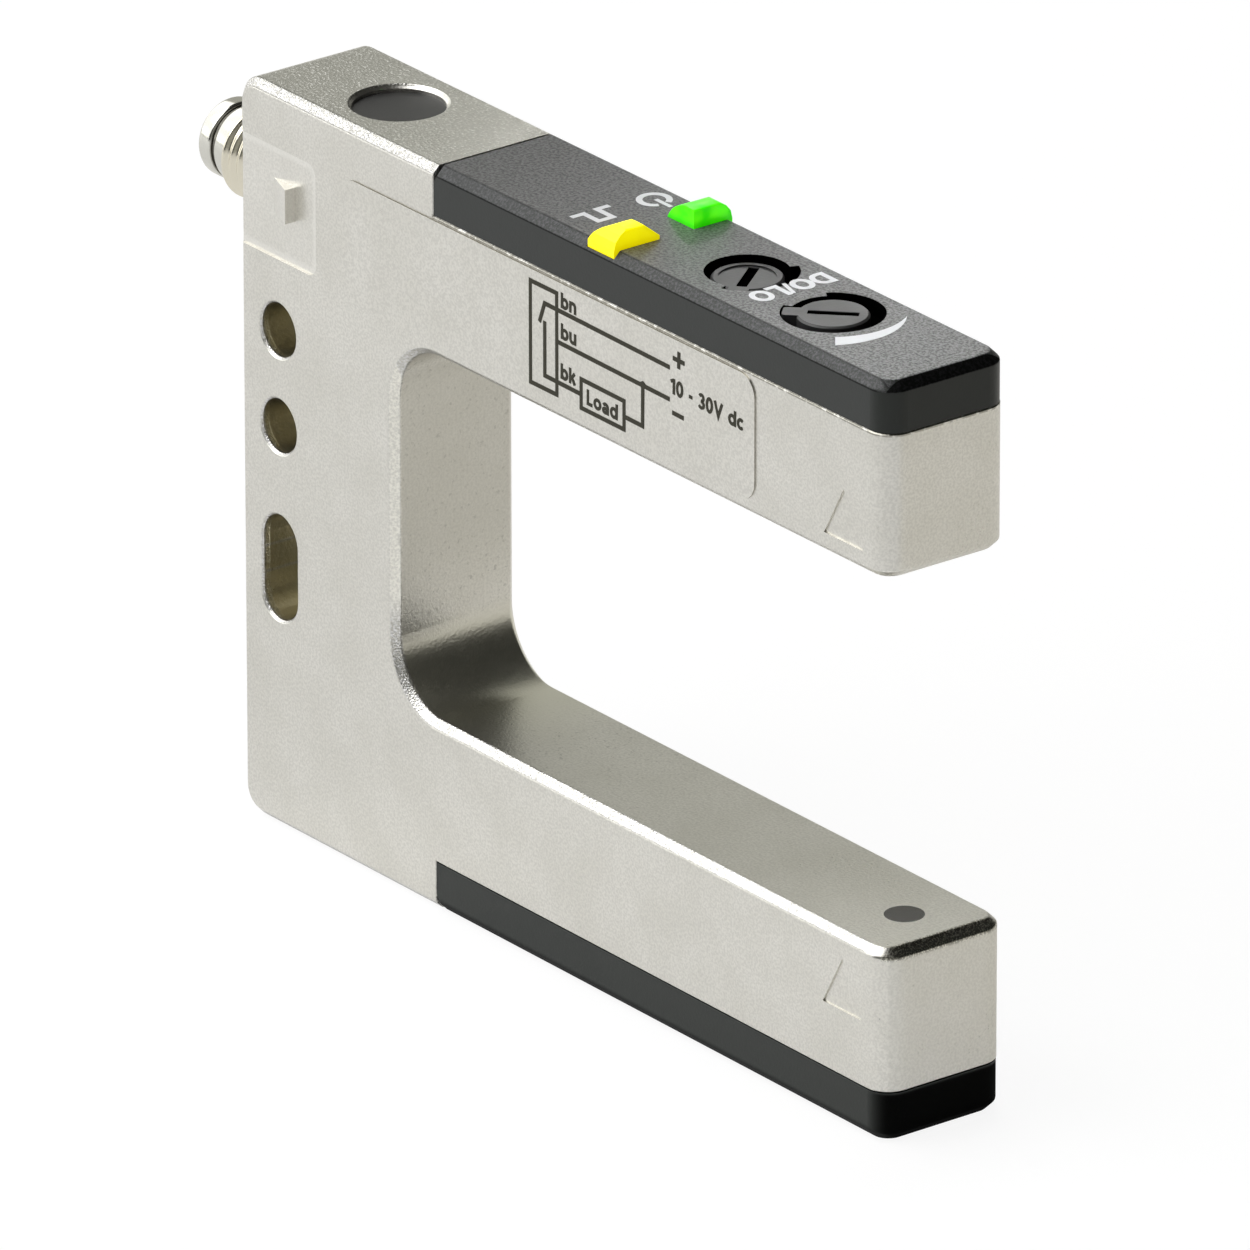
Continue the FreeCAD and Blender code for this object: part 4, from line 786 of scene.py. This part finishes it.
# %% The thread as a helical wave
def thread_cut(x, angle, r):
    """Depth of the thread: a rounded V that repeats every pitch along x and shifts one
    pitch per turn, fading out at both ends of the threaded length."""
    phase = (x / PITCH - angle / (2 * math.pi)) % 1.0
    wave = 0.5 + 0.5 * np.cos(2 * math.pi * phase)
    fade = np.clip((x - THREAD_FACE) / 0.3, 0, 1) * np.clip((-0.35 - x) / 0.4, 0, 1)
    return THREAD_DEEP * wave * fade * (r > SHELL_R - 0.36)


def threaded_barrel():
    """The profile turned round the connector's axis: its radius, less the thread's depth,
    times the sine and the cosine of the angle."""
    profile = turned_profile()
    x, r = profile[:, :1], profile[:, 1:]
    angle = np.linspace(0, 2 * math.pi, TURN, endpoint=False)[None, :]
    radius = r - thread_cut(x, angle, r)
    points = at(x + 0 * angle, radius * np.sin(angle), PLUG_Z + radius * np.cos(angle))
    faces = grid_faces(len(profile), TURN, True, True)
    return mesh_object("threaded_barrel", points.reshape(-1, 3), faces)


print("deepest cut in mm:", thread_cut(np.array(-3.0), 0.0, SHELL_R))

# %% A closed shell that faces outwards
def face_outwards(obj):
    """Turns every face of a closed shell outwards and returns the shell's volume in cubic
    millimetres. Each triangle and the origin span a small pyramid. The sum of their
    signed volumes is negative where the faces point inwards."""
    mesh = obj.data
    mesh.calc_loop_triangles()
    corners = np.empty(len(mesh.loop_triangles) * 3, int)
    mesh.loop_triangles.foreach_get("vertices", corners)
    points = np.empty(len(mesh.vertices) * 3)
    mesh.vertices.foreach_get("co", points)
    a, b, c = points.reshape(-1, 3)[corners.reshape(-1, 3)].transpose(1, 0, 2)
    volume = np.einsum("ij,ij->i", a, np.cross(b, c)).sum() / 6
    if volume < 0:
        mesh.flip_normals()
    return abs(volume) / MM ** 3


barrel = threaded_barrel()
print("barrel volume in mm3:", round(face_outwards(barrel), 2))
barrel.data.set_sharp_from_angle(angle=math.radians(40))
barrel.data.materials.append(nickel)
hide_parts("connector_shell")
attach(barrel, "sensor")
print(barrel.name, "faces", len(barrel.data.polygons))

# %% [markdown]
# ## Printed marks
#
# Pad-printed ink is a film a few hundredths of a millimetre thick. An image could stand
# for it, but bands of real ink stay sharp at any distance and belong to the mesh. Every
# mark here is a band between two edges. Lines are bands whose edges lie half a width to
# either side of a polyline and meet on their mitre at its corners.

# %% Ink finishes
white_ink = tinted("white_print", (0.72, 0.73, 0.75), (0.78, 0.79, 0.81), 0.5, 0.3)
dark_ink = tinted("dark_print", (0.028, 0.026, 0.015), (0.040, 0.037, 0.022), 0.55, 0.3)
INK = 0.02
FILM = 0.12
MARK_SIDE = NEAR_SIDE - FILM


def on_side(u, v, lift):
    """Points of the marking film: u is X and v is Z of the drawing."""
    return at(u, MARK_SIDE - lift, v)


def on_top(u, v, lift):
    """Points of the top cover: u is X and v is Y of the drawing."""
    return at(u, v, HEIGHT + lift)


print("the side's marks lie at y mm", round(MARK_SIDE, 2))

# %% A band between two edges
def band(name, left, right, surface, closed=False, layer=0):
    """A flat band between two edges with the ink's thickness. Marks that cross lie in
    different layers, a few thousandths of a millimetre apart, as overprinted ink does."""
    top = INK + 0.004 * layer
    ring = [surface(*left.T, 0.0), surface(*left.T, top), surface(*right.T, top),
            surface(*right.T, 0.0)]
    grid = np.stack(ring, axis=1)
    rows = len(grid)
    faces = grid_faces(rows, 4, closed, True)
    if not closed:
        last = (rows - 1) * 4
        faces = np.vstack([faces, [[3, 2, 1, 0]], [[last, last + 1, last + 2, last + 3]]])
    obj = mesh_object(name, grid.reshape(-1, 3), faces, smooth=False)
    face_outwards(obj)
    return obj


print("ink is", INK, "mm thick")

# %% A stroke along a polyline
def stroke(name, points, width, surface, closed=False, layer=0):
    """A band along a polyline. At each corner the edges lie along the mean of the two
    normals, stretched by the cosine of half the turn, which is a mitre joint."""
    p = np.asarray(points, float)
    steps = np.diff(np.vstack([p, p[:1]]) if closed else p, axis=0)
    steps /= np.linalg.norm(steps, axis=1, keepdims=True)
    normals = np.stack([-steps[:, 1], steps[:, 0]], 1)
    if closed:
        before, after = np.roll(normals, 1, 0), normals
    else:
        before = np.vstack([normals[:1], normals])
        after = np.vstack([normals, normals[-1:]])
    mean = before + after
    mean /= np.linalg.norm(mean, axis=1, keepdims=True)
    stretch = 1 / np.clip((mean * after).sum(1, keepdims=True), 0.3, None)
    half = np.broadcast_to(np.asarray(width, float).reshape(-1, 1) / 2, (len(p), 1))
    offset = mean * stretch * half
    return band(name, p + offset, p - offset, surface, closed, layer)


def arc(centre, radii, start=0.0, end=360.0, count=14):
    """Points on an arc of a circle or ellipse, with angles in degrees."""
    a = np.radians(np.linspace(start, end, count))
    return np.stack([centre[0] + radii[0] * np.cos(a), centre[1] + radii[1] * np.sin(a)], 1)


def loop(centre, radii, count=20):
    """Points all round an ellipse, without the last one that would repeat the first."""
    return arc(centre, radii, 0.0, 360.0, count + 1)[:-1]


print("points round a loop:", len(loop((0, 0), (1, 1))))

# %% [markdown]
# ## Letters from strokes
#
# A text object would give letters at once, but in the outlines of a typeface, and the
# real print has plain letters of one line width. So each letter is a few strokes in a
# square one unit high, and the stroke function draws them at any size and angle.

# %% The letters that the marks need
# Each entry is the letter's width and its strokes, for capitals one unit high. A stroke
# is a list of points and whether it closes.
LETTERS = {
    "b": (0.72, [([(0.10, 0.0), (0.10, 1.0)], False), (loop((0.37, 0.36), (0.25, 0.27)), True)]),
    "n": (0.66, [([(0.10, 0.0), (0.10, 0.73)], False),
                 (np.vstack([arc((0.33, 0.42), (0.23, 0.22), 180, 0, 9), [(0.56, 0.0)]]), False)]),
    "u": (0.66, [(np.vstack([[(0.10, 0.73)], arc((0.33, 0.31), (0.23, 0.22), 180, 360, 9)]), False),
                 ([(0.56, 0.0), (0.56, 0.73)], False)]),
    "k": (0.64, [([(0.10, 0.0), (0.10, 1.0)], False), ([(0.54, 0.73), (0.14, 0.30)], False),
                 ([(0.27, 0.46), (0.56, 0.0)], False)]),
    "L": (0.56, [([(0.10, 1.0), (0.10, 0.10), (0.55, 0.10)], False)]),
    "o": (0.74, [(loop((0.37, 0.36), (0.27, 0.27)), True)]),
    "a": (0.66, [(loop((0.29, 0.22), (0.20, 0.13)), True),
                 (np.vstack([arc((0.31, 0.45), (0.22, 0.19), 155, 0, 8), [(0.53, 0.0)]]), False)]),
    "d": (0.74, [(loop((0.36, 0.36), (0.26, 0.27)), True), ([(0.64, 0.0), (0.64, 1.0)], False)]),
    "c": (0.68, [(arc((0.36, 0.36), (0.27, 0.27), 48, 312, 16), False)]),
    "1": (0.44, [([(0.02, 0.76), (0.30, 0.90)], False), ([(0.33, 1.0), (0.33, 0.0)], False)]),
    "0": (0.68, [(loop((0.34, 0.50), (0.24, 0.41)), True)]),
    "3": (0.62, [(np.vstack([arc((0.29, 0.71), (0.20, 0.19), 155, -70, 10),
                             arc((0.29, 0.28), (0.24, 0.20), 75, -155, 12)]), False)]),
    "V": (0.84, [([(0.07, 1.0), (0.42, 0.08), (0.77, 1.0)], False)]),
    "-": (0.38, [([(0.02, 0.40), (0.36, 0.40)], False)]),
    "D": (0.79, [(np.vstack([[(0.11, 0.11)], [(0.11, 0.89)],
                             arc((0.36, 0.50), (0.32, 0.39), 90, -90, 11)]), True)]),
    "O": (0.86, [(loop((0.43, 0.50), (0.32, 0.39)), True)]),
    "/": (0.36, [([(0.05, 0.05), (0.29, 0.95)], False)]),
    " ": (0.34, []),
}
print("letters and signs:", "".join(sorted(LETTERS)).strip())

# %% Words, and prints that join them
def word(text, height, weight, place, surface, turn=0.0, gap=0.1):
    """Strokes of a line of text: capitals height mm high and lines weight mm wide,
    starting at place and running at turn degrees to the surface's first axis."""
    pieces = []
    ahead = 0.0
    c, s = math.cos(math.radians(turn)), math.sin(math.radians(turn))
    for letter in text:
        width, strokes = LETTERS[letter]
        for layer, (points, closed) in enumerate(strokes):
            x, y = (np.asarray(points, float) + (ahead, 0.0)).T * height
            placed = np.stack([place[0] + x * c - y * s, place[1] + x * s + y * c], 1)
            thick = weight * (0.7 if letter == "/" else 1.0)
            pieces.append(stroke("letter_" + letter, placed, thick, surface, closed, layer))
        ahead += width + gap
    return pieces


def joined(name, pieces, ink):
    """Joins the strokes and words of one print into one piece that rides on the sensor."""
    with bpy.context.temp_override(active_object=pieces[0], selected_editable_objects=pieces):
        bpy.ops.object.join()
    obj = pieces[0]
    obj.name = name
    obj.data.materials.clear()
    obj.data.materials.append(ink)
    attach(obj, "sensor")
    return obj


print("Load, 1.27 mm high, has", sum(len(LETTERS[c][1]) for c in "Load"), "strokes")

# %% [markdown]
# ## The wiring diagram
#
# The marked side shows how to connect the sensor: a box for the sensor with a switch
# in it, three wires with their colour codes, a load, and the supply. The places are
# those of the real print, in drawing millimetres.

# %% Wiring diagram on the side
LINE = 0.37


def wiring_print():
    lines = {
        "sensor_box": ([(37.2, 47.9), (40.47, 47.9), (40.47, 56.15), (37.2, 56.15)], True, 0),
        "supply_plus": ([(38.33, 53.15), (38.97, 54.85), (54.4, 54.66)], False, 1),
        "switch_leg": ([(38.98, 53.4), (38.98, 48.98), (43.5, 48.92)], False, 1),
        "supply_minus": ([(40.47, 52.24), (54.4, 52.08)], False, 1),
        "load_box": ([(43.48, 47.82), (48.78, 47.8), (48.78, 50.1), (43.48, 50.15)], True, 0),
        "load_return": ([(48.78, 48.85), (51.06, 48.82), (51.1, 52.4)], False, 2),
        "plus_bar": ([(54.78, 55.56), (56.22, 55.53)], False, 0),
        "plus_post": ([(55.5, 54.88), (55.53, 56.25)], False, 1),
        "minus_bar": ([(54.7, 51.12), (56.12, 51.09)], False, 0),
    }
    pieces = [stroke(name, points, LINE, on_side, closed, layer)
              for name, (points, closed, layer) in lines.items()]
    pieces.append(stroke("junction", [(50.75, 52.14), (51.1, 52.14), (51.45, 52.14)],
                         [0.3, 0.72, 0.3], on_side, layer=3))
    texts = (("bn", (40.99, 55.14), -0.7), ("bu", (40.99, 52.64), -0.7),
             ("bk", (40.95, 49.38), -0.7), ("Load", (44.18, 48.31), -0.9),
             ("10 - 30V dc", (54.48, 52.64), -1.3))
    for text, place, turn in texts:
        pieces += word(text, 1.27, 0.28, place, on_side, turn)
    return joined("wiring_print", pieces, dark_ink)


wiring = wiring_print()
print(wiring.name, "faces", len(wiring.data.polygons))

# %% [markdown]
# ## White marks on the top cover
#
# Each indicator has a sign for what it shows, a ring with a bar for power and a pulse
# for the output. Between the adjusters stand the two switching modes, and beside the
# sensitivity adjuster a crescent widens towards the end that gives more. Two circles of
# one radius bound the crescent, with their centres a little apart.

# %% Signs and letters on the top cover
def crescent():
    """A band between arcs of two equal circles with different middles."""
    inner_edge = arc((65.46, 0.52), (6.0, 6.0), 34.2, -34.4, 25)
    outer_edge = arc((66.56, -0.70), (6.0, 6.0), 49.8, -31.6, 25)
    return band("more_crescent", inner_edge, outer_edge, on_top)


def top_print():
    pulse = [(39.46, -0.26), (39.46, -1.44), (41.44, -1.44), (41.44, -2.78), (39.6, -2.78),
             (39.6, -3.96)]
    pieces = [
        stroke("power_ring", arc((40.56, 3.17), (1.15, 1.15), 27, 339, 32), 0.5, on_top),
        stroke("power_bar", [(40.6, 3.28), (42.5, 3.28)], 0.36, on_top),
        stroke("output_pulse", pulse, 0.48, on_top),
        crescent(),
    ]
    pieces += word("DO/LO", 2.155, 0.46, (59.63, 4.24), on_top, -90.0, gap=0.0)
    return joined("top_print", pieces, white_ink)


top_marks = top_print()
print(top_marks.name, "faces", len(top_marks.data.polygons))

# %% [markdown]
# ## Floor
#
# The floor is plain and pale. Seen directly it is mostly plain white light, while a part
# of its own shading stays so that the object keeps its shadow. What metal and gloss
# mirror of it is a smaller share of that white, a little dimmer and warmer behind the
# object, as on a floor that is lit from the front.

# %% Floor
def floor(side=3.0):
    bottom = cad_box[0][2]
    corners = [(-side, -side), (side, -side), (side, side), (-side, side)]
    points = np.array([(x, y, bottom) for x, y in corners])
    obj = mesh_object("studio_floor", points, np.array([[0, 1, 2, 3]]), smooth=False)
    f = Finish("studio_floor")
    f.set(Base_Color=(0.85, 0.85, 0.85), Roughness=0.9, Specular_IOR_Level=0.0)
    ray = f.node("ShaderNodeLightPath")
    mirrored = ray["Is Glossy Ray"] | ray["Is Transmission Ray"]
    behind = f.y.step(-6.0, 30.0) * (1.0 - ray["Is Camera Ray"])
    white = f.node("ShaderNodeEmission", {}, {
        "Strength": 1.06, "Color": f.colour(behind, (1.0, 1.0, 1.0), (0.96, 0.92, 0.82))})
    f.overlay(ray["Is Camera Ray"] * 0.85 | mirrored * 0.36, white["Emission"])
    obj.data.materials.append(f.material)
    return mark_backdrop(obj)


floor()
print("floor at", round(cad_box[0][2] / MM, 2), "mm")

# %% [markdown]
# ## World
#
# To the camera the world is white. To everything else it is a dim room with three soft
# round patches, and metal shows mostly what it mirrors of them. The wide one at the back
# is what the top faces show. A small bright one beyond the rear lights the chamfer of
# the marked side, and a weak one in front fills the faces that look that way. The dark
# between them gives the rounded corner of the fork its deep shade.

# %% Three soft patches in a dim room
DIM = 0.034
PATCHES = (
    # towards, full within and gone beyond these angles, brightness
    ((-0.80, 0.52, 0.30), 12, 48, 0.43),
    ((-0.73, -0.56, 0.03), 5, 15, 1.00),
    ((0.70, -0.69, 0.22), 8, 36, 0.30),
)


def studio_world():
    """Each patch depends on the angle between a ray and the patch's direction, whose
    cosine is the dot product of the two."""
    world = bpy.data.worlds.new("studio")
    bpy.context.scene.world = world
    world.use_nodes = True
    tree = Tree(world.node_tree)
    seen = tree.node("ShaderNodeLightPath")["Is Camera Ray"]
    way = tree.node("ShaderNodeTexCoord")["Generated"]
    light = DIM
    for towards, full, gone, brightness in PATCHES:
        cosine = tree.node("ShaderNodeVectorMath", {"operation": "DOT_PRODUCT"},
                           {0: way, 1: Vector(towards).normalized()})["Value"]
        patch = cosine.step(math.cos(math.radians(gone)), math.cos(math.radians(full)))
        light = patch * brightness + light
    background = tree.nodes["Background"]
    tree.feed(background.inputs["Strength"], light | seen)
    tree.feed(background.inputs["Color"],
              tree.colour(seen, (1.0, 1.0, 0.91), (1.0, 1.0, 1.0)))


studio_world()
print("patches of light:", len(PATCHES))

# %% [markdown]
# ## Lamps
#
# Two large soft lamps at the left light the marked side and its chamfers. Two tiny ones
# behind a honeycomb stay on the front of the top cover, which is lighter there: one from
# above, and one from where the cover mirrors it into the camera.

# %% Lamps
def lamp(name, towards, distance, size, watts, middle=(0.036, 0.0, -0.014), spread=180.0):
    """A rectangular area lamp in the given direction from a point, facing it. A small
    spread is a honeycomb in front of it that keeps its light on that point."""
    direction = Vector(towards).normalized()
    data = bpy.data.lights.new(name, "AREA")
    data.shape = "RECTANGLE"
    data.size, data.size_y = size
    data.energy = watts
    data.spread = math.radians(spread)
    obj = bpy.data.objects.new(name, data)
    facing = direction.to_track_quat("Z", "Y").to_matrix().to_4x4()
    obj.matrix_world = Matrix.Translation(Vector(middle) + direction * distance) @ facing
    bpy.context.scene.collection.objects.link(obj)
    print(name, watts, "W from", [round(c, 2) for c in obj.matrix_world.translation])


lamp("key", (-0.73, -0.39, 0.56), 1.2, (2.2, 1.5), 15.0)
lamp("overhead", (-0.30, -0.45, 0.84), 1.3, (1.2, 1.2), 10.0)
lamp("front_top", (-0.15, 0.15, 0.97), 0.22, (0.04, 0.04), 0.004, (0.070, 0.0, 0.02), 28.0)
lamp("front_sheen", (-0.73, 0.56, 0.39), 0.3, (0.03, 0.03), 0.0003, (0.062, 0.0, 0.02), 12.0)

# %% [markdown]
# ## Camera
#
# The photograph was taken from far away with a long lens, so that parallel edges stay
# nearly parallel. The camera's three axes follow from its angles: one points from the
# object to the camera, one lies level, and the third is square to both. A small roll
# turns the last two.

# %% Camera at the photograph's viewing angle
AZIMUTH = math.radians(52.55)
ELEVATION = math.radians(23.023)
ROLL = math.radians(-0.0637)
DISTANCE = 1.668901
FOCAL_PIXELS = 22026.83
FRAME_PIXELS = 1250
SENSOR = 36.0
target = Vector(at(41.01, 0.0, 27.684))

back = Vector((math.sin(AZIMUTH) * math.cos(ELEVATION),
               -math.cos(AZIMUTH) * math.cos(ELEVATION), math.sin(ELEVATION)))
right = Vector((math.cos(AZIMUTH), math.sin(AZIMUTH), 0.0))
up = back.cross(right)
turned_right = right * math.cos(ROLL) + up * math.sin(ROLL)
turned_up = back.cross(turned_right)

camera_data = bpy.data.cameras.new("camera")
camera_data.sensor_width = SENSOR
camera_data.lens = FOCAL_PIXELS * SENSOR / FRAME_PIXELS
camera_data.clip_end = 20.0
camera = bpy.data.objects.new("camera", camera_data)
rotation = Matrix((turned_right, turned_up, back)).transposed().to_4x4()
camera.matrix_world = Matrix.Translation(target + back * DISTANCE) @ rotation
bpy.context.scene.collection.objects.link(camera)
bpy.context.scene.camera = camera
bpy.context.scene.view_settings.view_transform = "Standard"
print("lens mm", round(camera_data.lens, 2))
